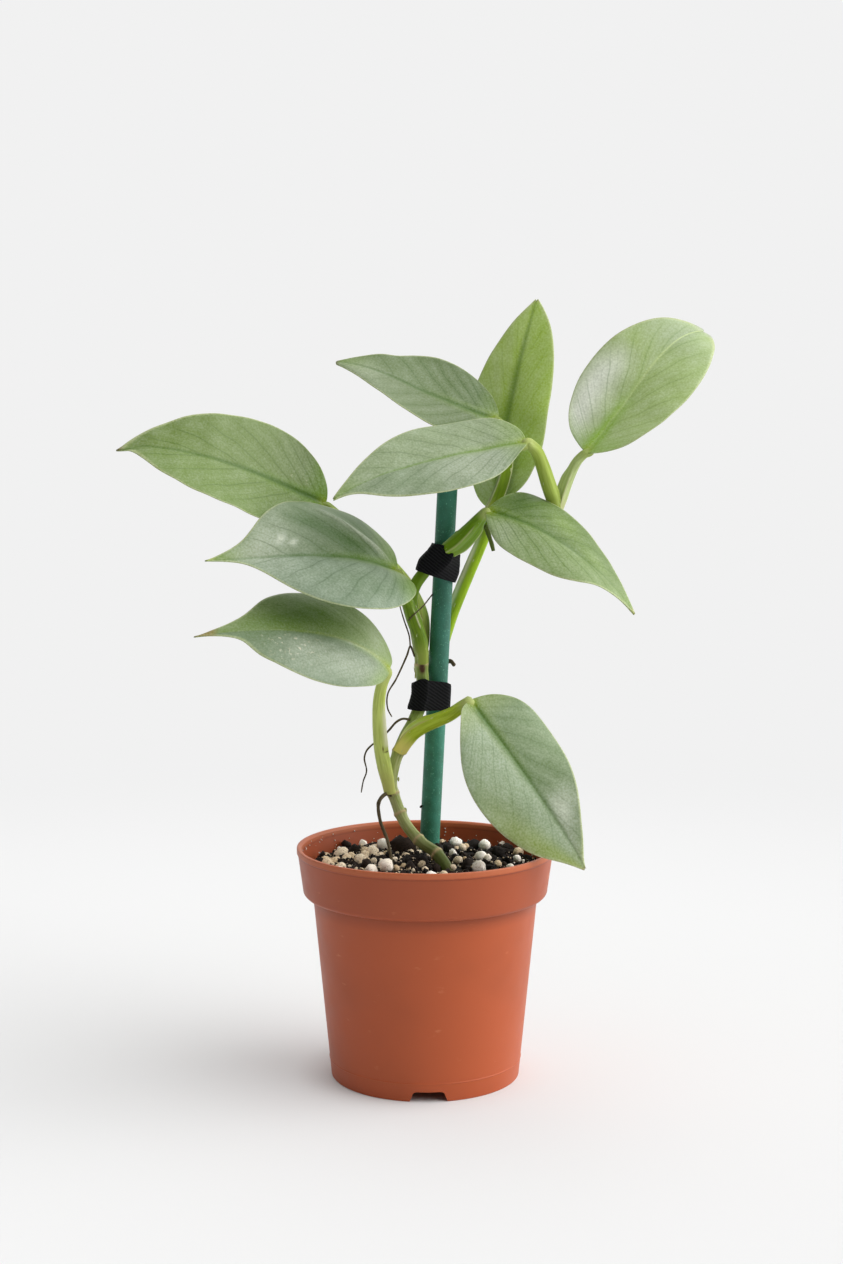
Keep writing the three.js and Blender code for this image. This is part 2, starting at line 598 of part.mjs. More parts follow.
// A face of the blade: columns fan from the midrib to the margin along the side veins.
// side is 1 for the upper face and -1 for the lower one, which carries the raised midrib.
function bladeFace(blade, axes, u, q, side, target) {
  const s = Math.abs(2 * u - 1);
  const half = u < 0.5 ? blade.a : blade.b;
  const edge = halfOutline(blade, half, q);
  const root = blade.length * q ** 2.2;
  const x = root + (edge.x - root) * s ** 1.3;
  const y = edge.y * s * (u < 0.5 ? 1 : -1);
  const step = 0.05;
  const point = bentPoint(blade, axes, x, y);
  const alongX = bentPoint(blade, axes, x + step, y).sub(point);
  const alongY = bentPoint(blade, axes, x, y + step).sub(point);
  const normal = alongX.cross(alongY).normalize();
  const rib = side < 0 ? MIDRIB_HEIGHT * (1 - 0.8 * q) * Math.exp(-((y / 2) ** 2)) : 0;
  target.copy(point).addScaledVector(normal, side * (BLADE_THICKNESS / 2 + rib));
}

function bladeSolid(blade) {
  const axes = bladeAxes(blade);
  const reach = (share) => BLADE_START + (1 - BLADE_START) * share;
  const face = (side) => new ParametricGeometry(
    (u, v, target) => bladeFace(blade, axes, u, reach(v), side, target), BLADE_COLUMNS, BLADE_ROWS);
  const margin = new ParametricGeometry((along, through, target) => {
    const q = reach(along < 0.5 ? 2 * along : 2 - 2 * along);
    bladeFace(blade, axes, along < 0.5 ? 0 : 1, q, through < 0.5 ? 1 : -1, target);
  }, 2 * BLADE_ROWS, 1);
  const foot = new ParametricGeometry((u, through, target) => {
    bladeFace(blade, axes, 1 - u, BLADE_START, through < 0.5 ? 1 : -1, target);
  }, BLADE_COLUMNS, 1);
  return solid(mergeGeometries([face(1), flipped(face(-1)), margin, foot]));
}

// The same surface with its faces turned to the other side.
function flipped(geometry) {
  const index = geometry.index.array;
  for (let i = 0; i < index.length; i += 3) {
    [index[i + 1], index[i + 2]] = [index[i + 2], index[i + 1]];
  }
  return geometry;
}

// Hook-and-loop ties: a band round the stake and the stem, whose ends lap over each other.
// centre lies on the band's middle, axis runs through its loop, and lap is the angle, seen
// along the axis, at which the outer end stops.
const TIES = {
  tie_lower: { centre: [2, 15, 176], axis: [0.08, 0.02, 1], lap: 200 },
  tie_upper: { centre: [7, 15, 239.5], axis: [0.3, 0.02, 1], lap: 215 },
};
const TIE_SIDES = 32;
const LAP_LENGTH = 110;

// Height above and below each edge of a band within which what it holds presses it outward.
const TIE_REACH = 1.2;

function tieGeometry({ centre, axis, lap }) {
  const up = vec(axis).normalize();
  const middle = vec(centre);
  const right = new THREE.Vector3(1, 0, 0).addScaledVector(up, -up.x).normalize();
  const back = up.clone().cross(right);
  const contents = bandContents(up, middle, right, back);
  const loop = (offset, height) => {
    const discs = contents.filter((disc) => Math.abs(disc.height - height) < TIE_REACH);
    const points = [];
    for (let k = 0; k < TIE_SIDES; k++) {
      const angle = (k / TIE_SIDES) * 2 * Math.PI;
      const reach = ({ x, y, radius }) => x * Math.cos(angle) + y * Math.sin(angle) + radius;
      const disc = discs.reduce((a, b) => (reach(b) > reach(a) ? b : a));
      const grown = disc.radius + offset(angle);
      points.push(middle.clone()
        .addScaledVector(up, height)
        .addScaledVector(right, disc.x + grown * Math.cos(angle))
        .addScaledVector(back, disc.y + grown * Math.sin(angle)));
    }
    return points;
  };
  const inner = () => TIE_CLEARANCE;
  const outer = (angle) => {
    const past = (THREE.MathUtils.radToDeg(angle) - lap + 360) % 360;
    return TIE_CLEARANCE + TIE_THICKNESS + (past < LAP_LENGTH ? TIE_OVERLAP : 0);
  };
  const half = TIE_WIDTH / 2;
  const sections = [
    loop(inner, half), loop(inner, 0), loop(inner, -half),
    loop(outer, -half), loop(outer, 0), loop(outer, half), loop(inner, half),
  ];
  return new LoftGeometry(sections, { closed: true });
}

// What a band holds: discs of the stake and of the stem, seen along the band's axis.
function bandContents(up, middle, right, back) {
  const discs = [];
  const add = (point, radius) => {
    const offset = point.clone().sub(middle);
    discs.push({ x: offset.dot(right), y: offset.dot(back), height: offset.dot(up), radius });
  };
  const samples = 200;
  for (let i = 0; i <= samples; i++) {
    const share = i / samples;
    add(STAKE_FOOT.clone().addScaledVector(stakeAxis, share * STAKE_LENGTH), STAKE_RADIUS);
    add(stemCurve.getPointAt(share), stemRadius(share));
  }
  return discs;
}

// Assembly: each piece gives way to the piece that it grows from or lies in.
const plant = new THREE.Group();
plant.name = "potted_philodendron_hastatum";

function addPiece(name, geometry, material) {
  const mesh = new THREE.Mesh(geometry, material);
  mesh.name = name;
  plant.add(mesh);
}

const stem = stemSolid(0);
const stemRoom = stemSolid(CLEARANCE);
const stakeRoom = solid(onStake([
  [0, -CLEARANCE],
  [1.2, -CLEARANCE],
  [STAKE_RADIUS + CLEARANCE, COAT_FROM - CLEARANCE],
  [STAKE_RADIUS + CLEARANCE, STAKE_LENGTH + CLEARANCE],
  [0, STAKE_LENGTH + CLEARANCE],
]));
const soilRoot = AERIAL_ROOTS.aerial_root_soil;
const rootRoom = solid(rootSweep(soilRoot.path, soilRoot.radius, CLEARANCE));
const soil = soilBody().subtract(stemRoom).subtract(stakeRoom).subtract(rootRoom);

addPiece("pot", potGeometry(), TERRACOTTA);
addPiece("soil", geometryOf(mainBody(soil)), SOIL);
addPiece("stake_coat", stakeCoat(), STAKE_PLASTIC);
addPiece("stake_tube", stakeTube(), STEEL);
addPiece("stake_point", stakePoint(), STAKE_PLASTIC);
addPiece("stake_cap", stakeCap(), STAKE_PLASTIC);
addPiece("stem", geometryOf(mainBody(stem)), STEM_GREEN);
for (const [name, tie] of Object.entries(TIES)) addPiece(name, tieGeometry(tie), TIE_FABRIC);

const grown = [stemRoom];
for (const [name, petiole] of Object.entries(PETIOLES)) {
  let stalk = solid(petioleSweep(petiole, 0));
  for (const room of grown) stalk = stalk.subtract(room);
  grown.push(solid(petioleSweep(petiole, CLEARANCE)));
  addPiece(name, geometryOf(mainBody(stalk)), PETIOLE_GREEN);
}

for (const [name, { path, radius }] of Object.entries(AERIAL_ROOTS)) {
  let root = solid(rootSweep(path, radius));
  for (const room of grown) root = root.subtract(room);
  addPiece(name, geometryOf(mainBody(root)), ROOT_BROWN);
}

for (const [name, blade] of Object.entries(BLADES)) {
  let leaf = bladeSolid(blade);
  for (const room of grown) leaf = leaf.subtract(room);
  const silver = !["blade_1", "blade_6"].includes(name);
  addPiece(name, geometryOf(mainBody(leaf)), silver ? BLADE_SILVER : BLADE_GREEN);
}

export default plant;
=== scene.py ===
"""Potted philodendron hastatum on a stake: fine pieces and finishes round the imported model.

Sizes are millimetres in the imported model's frame: +Z up, +Y away from the viewer, origin at the
middle of the pot's foot. They become metres where a mesh is written.
"""

import logging
import math
from dataclasses import dataclass, field
from enum import Enum

import bpy
import numpy as np
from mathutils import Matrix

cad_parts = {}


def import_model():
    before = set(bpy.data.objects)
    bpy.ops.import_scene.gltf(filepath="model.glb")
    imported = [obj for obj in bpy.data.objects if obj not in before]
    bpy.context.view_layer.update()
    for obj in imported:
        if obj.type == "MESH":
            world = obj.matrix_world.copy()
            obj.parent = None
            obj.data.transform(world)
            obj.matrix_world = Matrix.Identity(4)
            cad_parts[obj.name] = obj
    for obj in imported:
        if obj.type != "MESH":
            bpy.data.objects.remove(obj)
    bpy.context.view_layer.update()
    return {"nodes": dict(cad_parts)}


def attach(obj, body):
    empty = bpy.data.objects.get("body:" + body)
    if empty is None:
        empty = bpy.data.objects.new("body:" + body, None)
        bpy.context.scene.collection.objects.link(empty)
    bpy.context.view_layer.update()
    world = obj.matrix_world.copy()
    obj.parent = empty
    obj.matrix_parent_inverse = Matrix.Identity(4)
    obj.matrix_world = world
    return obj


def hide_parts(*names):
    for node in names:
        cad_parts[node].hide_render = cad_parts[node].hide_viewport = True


MM = 0.001
BODY = "root"
LOG = logging.getLogger("philodendron")
Array = np.ndarray
Point = tuple[float, float, float]
Line = tuple[Point, ...]
Piece = bpy.types.Object
Tree = bpy.types.NodeTree
Node = bpy.types.Node
Socket = bpy.types.NodeSocket

# Sockets of a colour Mix node, which repeats its names for every type of data.
MIX_A, MIX_B, MIX_OUT = 6, 7, 2


# ---------------------------------------------------------------- numbers


def linear(code: str) -> tuple[float, float, float, float]:
    """Linear colour of an sRGB code: c/12.92 up to 0.04045, ((c + 0.055)/1.055)^2.4 above.

    Args:
        code: the colour as "#rrggbb".

    Returns:
        Linear red, green and blue, and an alpha of 1.
    """
    c = np.array([int(code[i : i + 2], 16) for i in (1, 3, 5)]) / 255
    lit = np.where(c <= 0.04045, c / 12.92, ((c + 0.055) / 1.055) ** 2.4)
    return (*lit.tolist(), 1.0)


def smooth(value: Array, low: float, high: float) -> Array:
    """Smooth step: 3t^2 - 2t^3 of the share t of the way from low to high, held to 0..1."""
    t = np.clip((value - low) / (high - low), 0, 1)
    return t * t * (3 - 2 * t)


def bell(value: Array, width: float) -> Array:
    """Bell of a value: e to the power of minus (value/width) squared."""
    return np.exp(-((value / width) ** 2))


def unit(vectors: Array) -> Array:
    """Vectors divided by their lengths."""
    return vectors / np.maximum(np.linalg.norm(vectors, axis=-1, keepdims=True), 1e-12)


def turns(count: int) -> Array:
    """Angles at this many even steps of a full turn."""
    return np.linspace(0, 2 * np.pi, count, endpoint=False)


def wrapped(angle: Array) -> Array:
    """Angles brought to between minus and plus half a turn."""
    return (angle + np.pi) % (2 * np.pi) - np.pi


def stacked(*parts: Array | float) -> Array:
    """Coordinates given one by one, stretched to a common grid and stacked."""
    return np.stack(np.broadcast_arrays(*parts), -1)


def polar(radius: Array, count: int) -> tuple[Array, Array]:
    """x and y of rings of points: r cos and r sin, at even angles."""
    angle = turns(count)
    return radius[:, None] * np.cos(angle), radius[:, None] * np.sin(angle)


def cubic(w: Array, p1: Array, p2: Array, s1: Array, s2: Array) -> Array:
    """The cubic from p1 to p2 with slopes s1 and s2, at the share w of the way."""
    return p1 + w * s1 + w**2 * (3 * (p2 - p1) - 2 * s1 - s2) + w**3 * (2 * (p1 - p2) + s1 + s2)


def eased(values: tuple[float, ...], share: Array) -> Array:
    """Smooth curve through values set at even shares from 0 to 1.

    Between two values it is the cubic whose end slopes are half the difference of the
    neighbours on both sides.

    Args:
        values: the values, at least two.
        share: where the curve is read.

    Returns:
        The curve's values.
    """
    v = np.concatenate([[values[0]], values, [values[-1]]])
    at = np.clip(share, 0, 1) * (len(values) - 1)
    i = np.minimum(at.astype(int), len(values) - 2)
    p0, p1, p2, p3 = (v[i + k] for k in range(4))
    return cubic(at - i, p1, p2, (p2 - p0) / 2, (p3 - p1) / 2)


def ripple(points: Array, size: float, seed: int, waves: int = 7) -> Array:
    """Uneven field from -1 to 1: the mean of sine waves in drawn directions.

    Args:
        points: places, (..., 3), mm.
        size: length of the middle wave, mm.
        seed: start of the draw.
        waves: number of waves.

    Returns:
        The field at each place.
    """
    draw = np.random.default_rng(seed)
    ways = unit(draw.normal(size=(waves, 3))) * draw.uniform(0.6, 1.7, (waves, 1))
    phase = draw.uniform(0, 2 * np.pi, waves)
    return np.sin(points @ ways.T * (2 * np.pi / size) + phase).mean(-1) * 1.8


class Path:
    """Smooth path through given points, read by the share of its length.

    Between points p1 and p2 it is a cubic whose end slopes are those of the centripetal
    Catmull-Rom curve: knots lie the square root of a chord apart, and the missing point past
    an end mirrors the one inside it.
    """

    SAMPLES = 200

    def __init__(self, points: Line | Array) -> None:
        """Stores the points with one mirrored past each end.

        Args:
            points: places in order, mm.
        """
        inner = np.asarray(points, float)
        ends = 2 * inner[[0, -1]] - inner[[1, -2]]
        self.points = np.vstack([ends[:1], inner, ends[1:]])
        self.knots = np.linspace(0, 1, self.SAMPLES + 1)
        chords = np.linalg.norm(np.diff(self._place(self.knots), axis=0), axis=1)
        self.reach = np.concatenate([[0], np.cumsum(chords)])
        self.length = float(self.reach[-1])

    def _place(self, knot: Array) -> Array:
        """Points of the curve at even shares of its spans.

        Args:
            knot: shares, (n,).

        Returns:
            Points, (n, 3), mm.
        """
        spans = len(self.points) - 3
        at = np.clip(knot, 0, 1) * spans
        i = np.minimum(at.astype(int), spans - 1)
        p0, p1, p2, p3 = (self.points[i + k] for k in range(4))
        d0, d1, d2 = (
            np.sqrt(np.linalg.norm(b - a, axis=1))[:, None]
            for a, b in ((p0, p1), (p1, p2), (p2, p3))
        )
        s1 = ((p1 - p0) / d0 - (p2 - p0) / (d0 + d1) + (p2 - p1) / d1) * d1
        s2 = ((p2 - p1) / d1 - (p3 - p1) / (d1 + d2) + (p3 - p2) / d2) * d1
        return cubic((at - i)[:, None], p1, p2, s1, s2)

    def at(self, share: Array) -> Array:
        """Points at shares of the length."""
        return self._place(np.interp(share * self.length, self.reach, self.knots))


# ---------------------------------------------------------------- surfaces


@dataclass
class Shape:
    """A surface: its points in mm, its faces by number of corners, and marks on its points."""

    points: Array
    faces: list[Array]
    marks: dict[str, Array] = field(default_factory=dict)


def grid_faces(rows: int, columns: int, around: bool = True, closed: bool = False) -> Array:
    """Quads of a grid of points, facing out where rows go up and columns anticlockwise.

    Args:
        rows: rows of points.
        columns: points in a row.
        around: whether the last column meets the first.
        closed: whether the last row meets the first.

    Returns:
        The corners of each quad.
    """
    i = np.arange(rows if closed else rows - 1)[:, None]
    j = np.arange(columns if around else columns - 1)[None, :]
    up, on = (i + 1) % rows, (j + 1) % columns
    corners = [i * columns + j, i * columns + on, up * columns + on, up * columns + j]
    return np.stack(corners, -1).reshape(-1, 4)


def strip_faces(first: Array, second: Array) -> Array:
    """Quads between two rows of point numbers, facing out where the second lies above."""
    return np.stack([first[:-1], first[1:], second[1:], second[:-1]], -1)


def joined(shapes: list[Shape]) -> Shape:
    """Several shapes as one, with marks that a shape lacks set to 0.

    Args:
        shapes: the shapes in order.

    Returns:
        One shape.
    """
    starts = np.cumsum([0] + [len(s.points) for s in shapes])
    sorts = {name: mark.shape[1:] for s in shapes for name, mark in s.marks.items()}
    marks = {
        name: np.concatenate([s.marks.get(name, np.zeros((len(s.points), *sort))) for s in shapes])
        for name, sort in sorts.items()
    }
    faces = [f + start for s, start in zip(shapes, starts) for f in s.faces]
    return Shape(np.concatenate([s.points for s in shapes]), faces, marks)


def rings(rows: Array, marks: dict[str, Array] | None = None) -> Shape:
    """A closed body of stacked rings: each end is closed by a fan to the ring's middle.

    Args:
        rows: points, (rings, points round, 3), anticlockwise seen from the far end.
        marks: values on the same grid.

    Returns:
        The closed shape.
    """
    count, around = rows.shape[:2]
    points = np.concatenate([rows.reshape(-1, 3), rows[[0, -1]].mean(1)])
    k = np.arange(around)
    on = (k + 1) % around
    top = (count - 1) * around
    start = stacked(count * around, on, k)
    end = stacked(count * around + 1, top + k, top + on)
    kept = {}
    for name, grid in (marks or {}).items():
        flat = grid.reshape(count * around, *grid.shape[2:])
        kept[name] = np.concatenate([flat, grid[[0, -1]].mean(1)])
    return Shape(points, [grid_faces(count, around), start, end], kept)


def carried(centres: Array, radii: Array, facing: Point | Array, **marks: Array | float) -> Shape:
    """A ring carried along a line of centres.

    The ring's point at an angle is the centre plus radius times (front cos + side sin), where
    front is the facing direction less its part along the line, and side is along x front. The
    mark "grain" holds cos, sin and length along the line, all in mm, for patterns that follow
    the piece.

    Args:
        centres: the line, (rows, 3), mm.
        radii: radius by row and angle, (rows, sides), mm.
        facing: direction of angle 0.
        marks: more values, stretched over rows and angles.

    Returns:
        The closed shape.
    """
    along = unit(np.gradient(centres, axis=0))
    face = np.asarray(facing, float)
    front = unit(face - (along @ face)[:, None] * along)
    side = np.cross(along, front)
    angle = turns(radii.shape[1])
    turn = np.stack([np.cos(angle), np.sin(angle)], -1)
    spread = turn[None, :, :1] * front[:, None] + turn[None, :, 1:] * side[:, None]
    steps = np.linalg.norm(np.diff(centres, axis=0), axis=1)
    reach = np.concatenate([[0], np.cumsum(steps)])
    middle = radii.mean(1)[:, None]
    grain = stacked(turn[:, 0] * middle, turn[:, 1] * middle, reach[:, None])
    full = {name: np.broadcast_to(mark, radii.shape) for name, mark in marks.items()}
    return rings(centres[:, None] + radii[..., None] * spread, {"grain": grain, **full})


def lathed(profile: Array, segments: int, closed: bool = False) -> Shape:
    """A profile of radius and height turned about +Z: (r cos, r sin, h).

    Args:
        profile: radius and height by row, running up on the outside.
        segments: points round.
        closed: whether the profile's end meets its start, as on a tube.

    Returns:
        The closed shape.
    """
    rows = stacked(*polar(profile[:, 0], segments), profile[:, 1:])
    if not closed:
        return rings(rows)
    return Shape(rows.reshape(-1, 3), [grid_faces(len(rows), segments, closed=True)])


def rounded(corners: list[tuple[float, float, float]], steps: int = 5) -> Array:
    """A profile with its corners rounded.

    Each corner is a quadratic curve from a point the given length before it to one as far
    after it: (1-t)^2 a + 2t(1-t) corner + t^2 b.

    Args:
        corners: radius, height and length cut from both sides, in order.
        steps: points on each rounded corner.

    Returns:
        Radius and height by row.
    """
    spots = np.array([c[:2] for c in corners], float)
    rows = [spots[:1]]
    t = np.linspace(0, 1, steps)[:, None]
    for before, here, after, (_, _, cut) in zip(spots, spots[1:], spots[2:], corners[1:]):
        if cut <= 0:
            rows.append(here[None])
            continue
        a = here + unit(before - here) * cut
        b = here + unit(after - here) * cut
        rows.append((1 - t) ** 2 * a + 2 * t * (1 - t) * here + t**2 * b)
    rows.append(spots[-1:])
    return np.concatenate(rows)


def ball(rows: int = 4, around: int = 6) -> Shape:
    """A unit ball of a few dozen faces: rings at even angles from pole to pole.

    Args:
        rows: rings between the poles.
        around: points on a ring.

    Returns:
        The ball.
    """
    slope = np.linspace(-0.5, 0.5, rows + 2)[1:-1] * np.pi
    shape = rings(stacked(*polar(np.cos(slope), around), np.sin(slope)[:, None]))
    shape.points[-2:] = [[0, 0, -1], [0, 0, 1]]
    return shape


def scattered(seed_shape: Shape, places: Array, sizes: Array, rough: float, seed: int) -> Shape:
    """Copies of one small shape, each turned, stretched and dented by its own draw.

    Args:
        seed_shape: the small unit shape.
        places: centres, (n, 3), mm.
        sizes: radii, (n,) or (n, 3), mm.
        rough: share of the radius by which points are moved in and out.
        seed: start of the draw.

    Returns:
        All copies as one shape, with the mark "tint" drawn once for each copy.
    """
    draw = np.random.default_rng(seed)
    count, corners = len(places), len(seed_shape.points)
    turn = np.linalg.qr(draw.normal(size=(count, 3, 3)))[0]
    turn *= np.sign(np.linalg.det(turn))[:, None, None]
    dent = 1 + rough * draw.uniform(-1, 1, (count, corners, 1))
    local = seed_shape.points[None] * dent * draw.uniform(0.8, 1.2, (count, 1, 3))
    local = np.einsum("nij,nkj->nki", turn, local)
    points = local * np.broadcast_to(sizes.reshape(count, -1), (count, 3))[:, None]
    points += places[:, None]
    step = (np.arange(count) * corners)[:, None, None]
    faces = [(f[None] + step).reshape(-1, f.shape[1]) for f in seed_shape.faces]
    tint = np.repeat(draw.uniform(0, 1, count), corners)
    return Shape(points.reshape(-1, 3), faces, {"tint": tint})


def write_mesh(name: str, shape: Shape, crease: float | None = None) -> Piece:
    """Puts a shape into a new smooth-shaded mesh object at the origin.

    Args:
        name: the object's name.
        shape: the surface, mm.
        crease: edges sharper than this many degrees stay sharp, or None for none.

    Returns:
        The object.
    """
    mesh = bpy.data.meshes.new(name)
    sizes = np.concatenate([np.full(len(f), f.shape[1]) for f in shape.faces])
    corners = np.concatenate([f.ravel() for f in shape.faces]).astype(np.int32)
    starts = np.concatenate([[0], np.cumsum(sizes)[:-1]]).astype(np.int32)
    mesh.vertices.add(len(shape.points))
    mesh.vertices.foreach_set("co", (shape.points * MM).astype(np.float32).ravel())
    mesh.loops.add(len(corners))
    mesh.loops.foreach_set("vertex_index", corners)
    mesh.polygons.add(len(sizes))
    mesh.polygons.foreach_set("loop_start", starts)
    mesh.update(calc_edges=True)
    mesh.validate()
    for key, values in shape.marks.items():
        kind, slot = ("FLOAT", "value") if values.ndim == 1 else ("FLOAT_VECTOR", "vector")
        layer = mesh.attributes.new(key, kind, "POINT")
        layer.data.foreach_set(slot, values.astype(np.float32).ravel())
    mesh.shade_smooth()
    if crease is not None:
        mesh.set_sharp_from_angle(angle=math.radians(crease))
    piece = bpy.data.objects.new(name, mesh)
    bpy.context.scene.collection.objects.link(piece)
    return piece


# ---------------------------------------------------------------- finishes


def opened(holder: bpy.types.Material | bpy.types.World) -> Tree:
    """An empty node tree in a material or a world.

    Args:
        holder: the material or world.

    Returns:
        Its node tree.
    """
    holder.use_nodes = True
    holder.node_tree.nodes.clear()
    return holder.node_tree


def wire(tree: Tree, node: Node, inputs: dict) -> None:
    """Sets or links a node's inputs.

    Args:
        tree: the node tree.
        node: the node.
        inputs: by socket name or number, a value, an sRGB code, a socket, or a node, whose
            first output is then linked, or its colour where it is a Mix node.
    """
    for key, value in inputs.items():
        if isinstance(value, Node):
            value = value.outputs[MIX_OUT if value.bl_idname == "ShaderNodeMix" else 0]
        if isinstance(value, Socket):
            tree.links.new(value, node.inputs[key])
        else:
            node.inputs[key].default_value = linear(value) if isinstance(value, str) else value


def add(tree: Tree, kind: str, inputs: dict | None = None, **settings: object) -> Node:
    """Adds a node with its settings and links.

    Args:
        tree: the node tree.
        kind: Blender's name of the node, without ShaderNode.
        inputs: what wire() takes.
        settings: the node's own settings.

    Returns:
        The node.
    """
    node = tree.nodes.new("ShaderNode" + kind)
    for key, value in settings.items():
        setattr(node, key, value)
    wire(tree, node, inputs or {})
    return node


def per_mm(size: float) -> float:
    """Texture scale on coordinates in metres for a feature of this size in mm."""
    return 1 / (size * MM)


def layered(tree: Tree, colour: Node | Socket | str, layers: list[tuple]) -> Node:
    """Colours laid over one another.

    Args:
        tree: the node tree.
        colour: the lowest colour.
        layers: share and colour of each further layer, in order.

    Returns:
        The node whose colour is the result.
    """
    for share, tone in layers:
        colour = add(tree, "Mix", {0: share, MIX_A: colour, MIX_B: tone}, data_type="RGBA")
    return colour


def mottle(
    tree: Tree, at: Node | Socket, scale: float, low: Node | str, high: Node | str,
    edges: tuple[float, float] = (0.35, 0.65), detail: float = 3.0,
) -> Node:
    """Two colours mixed by soft noise.

    Args:
        tree: the node tree.
        at: the coordinates.
        scale: the noise's scale on them.
        low: colour where the noise is low.
        high: colour where it is high.
        edges: noise values between which one turns into the other.
        detail: octaves of finer noise.

    Returns:
        The node whose colour is the result.
    """
    noise = add(tree, "TexNoise", {"Vector": at, "Scale": scale, "Detail": detail})
    share = add(
        tree, "MapRange", {"Value": noise, "From Min": edges[0], "From Max": edges[1]},
        interpolation_type="SMOOTHSTEP",
    )
    return layered(tree, low, [(share, high)])


@dataclass(frozen=True)
class Finish:
    """A finish: its material's common name and the numbers of its shader."""

    name: str
    rough: float = 0.5
    ior: float = 1.45

    def dress(self, tree: Tree) -> dict:
        """Adds the finish's own nodes."""
        raise NotImplementedError

    def material(self) -> bpy.types.Material:
        """Builds the material.

        Returns:
            The material.
        """
        material = bpy.data.materials.new(self.name)
        tree = opened(material)
        shader = add(tree, "BsdfPrincipled", {"Roughness": self.rough, "IOR": self.ior})
        wire(tree, shader, self.dress(tree))
        add(tree, "OutputMaterial", {"Surface": shader})
        return material


def place(piece: Piece, finish: bpy.types.Material, slot: str, *nodes: str) -> Piece:
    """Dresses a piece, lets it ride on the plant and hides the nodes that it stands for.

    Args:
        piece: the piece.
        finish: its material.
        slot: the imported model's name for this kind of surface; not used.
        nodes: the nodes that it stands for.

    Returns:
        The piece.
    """
    piece.data.materials.clear()
    piece.data.materials.append(finish)
    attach(piece, BODY)
    if nodes:
        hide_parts(*nodes)
    LOG.info("%s: %d faces, finish %s", piece.name, len(piece.data.polygons), finish.name)
    return piece


@dataclass(frozen=True)
class MouldedPot(Finish):
    """Polypropylene, injection-moulded: a satin skin with a fine eggshell grain, which the eye
    sees as soft broad highlights, a collar with painted shade below it and on it and a painted
    dark line above it, a paler lip that is partly a painted highlight, and a few dull scuffs."""

    body: str = "#b4552d"
    # pale: the scuffs' colour, and the lip's, where it is partly a painted highlight
    pale: str = "#c26d45"
    dull: str = "#aa5029"
    # shade: the colour of painted shade under the collar, on it and under the lip
    shade: str = "#8e4226"
    cloud_mm: float = 38.0
    scuff_mm: float = 9.0
    grain_mm: float = 0.5
    collar_mm: float = 85.8
    step_mm: float = 105.2

    def painted_shade_by_height(self, tree: Tree, height: Socket, wall: Node) -> Node:
        """Painted shade that grows toward the collar's foot, under its overhang, is half as strong
        on the collar and is a painted dark line on the step under the lip, with the paler lip over
        it, partly a painted highlight.

        Args:
            tree: the node tree.
            height: socket of the height in metres.
            wall: node of the wall's colour.

        Returns:
            Node of the shaded wall's colour.
        """
        # Painted shade under the collar's overhang, held weaker on the collar itself.
        rise = add(
            tree, "MapRange",
            {"Value": height, "From Min": (self.collar_mm - 6.8) * MM,
             "From Max": self.collar_mm * MM, "To Max": 0.75},
        )
        drop = add(
            tree, "MapRange",
            {"Value": height, "From Min": self.collar_mm * MM,
             "From Max": (self.collar_mm + 0.3) * MM, "To Max": 0.35},
        )
        painted_collar_shade = add(tree, "Math", {0: rise, 1: drop}, operation="SUBTRACT")
        # Painted dark line of shade on the step under the lip.
        off = add(tree, "Math", {0: height, 1: self.step_mm * MM}, operation="SUBTRACT")
        near = add(tree, "Math", {0: off}, operation="ABSOLUTE")
        line = add(
            tree, "MapRange",
            {"Value": near, "From Min": 0.7 * MM, "From Max": 0.1 * MM, "To Max": 0.85},
        )
        painted_shade_mask = add(tree, "Math", {0: painted_collar_shade, 1: line}, operation="MAXIMUM")
        # Paler lip: the plastic's own paler edge with a painted highlight along it.
        lip = add(
            tree, "MapRange",
            {"Value": height, "From Min": (self.step_mm + 0.4) * MM,
             "From Max": (self.step_mm + 1.2) * MM, "To Max": 0.6},
        )
        return layered(tree, wall, [(painted_shade_mask, self.shade), (lip, self.pale)])

    def dress(self, tree: Tree) -> dict:
        """A cloudy wall with painted shade and a painted lip highlight by height, scuffed along the
        ground, with an uneven gloss.

        Args:
            tree: the node tree.

        Returns:
            What the shader's inputs are set or linked to.
        """
        at = add(tree, "TexCoord").outputs["Object"]
        wall = mottle(tree, at, per_mm(self.cloud_mm), self.dull, self.body, (0.2, 0.6), 2)
        painted_shade_and_highlight = self.painted_shade_by_height(tree, add(tree, "SeparateXYZ", {0: at}).outputs[2], wall)
        level = add(tree, "Mapping", {"Vector": at, "Scale": (1, 1, 2.5)})
        scuff = mottle(tree, level, per_mm(self.scuff_mm), painted_shade_and_highlight, self.pale, (0.66, 0.8), 6)
        rub = add(tree, "TexNoise", {"Vector": at, "Scale": per_mm(self.scuff_mm), "Detail": 6.0})
        gloss = {"Value": rub, "To Min": self.rough - 0.07, "To Max": self.rough + 0.1}
        rough = add(tree, "MapRange", gloss)
        grain = add(tree, "TexNoise", {"Vector": at, "Scale": per_mm(self.grain_mm), "Detail": 2.0})
        bump = add(tree, "Bump", {"Height": grain, "Strength": 0.25, "Distance": 0.03 * MM})
        return {"Base Color": scuff, "Roughness": rough, "Normal": bump}


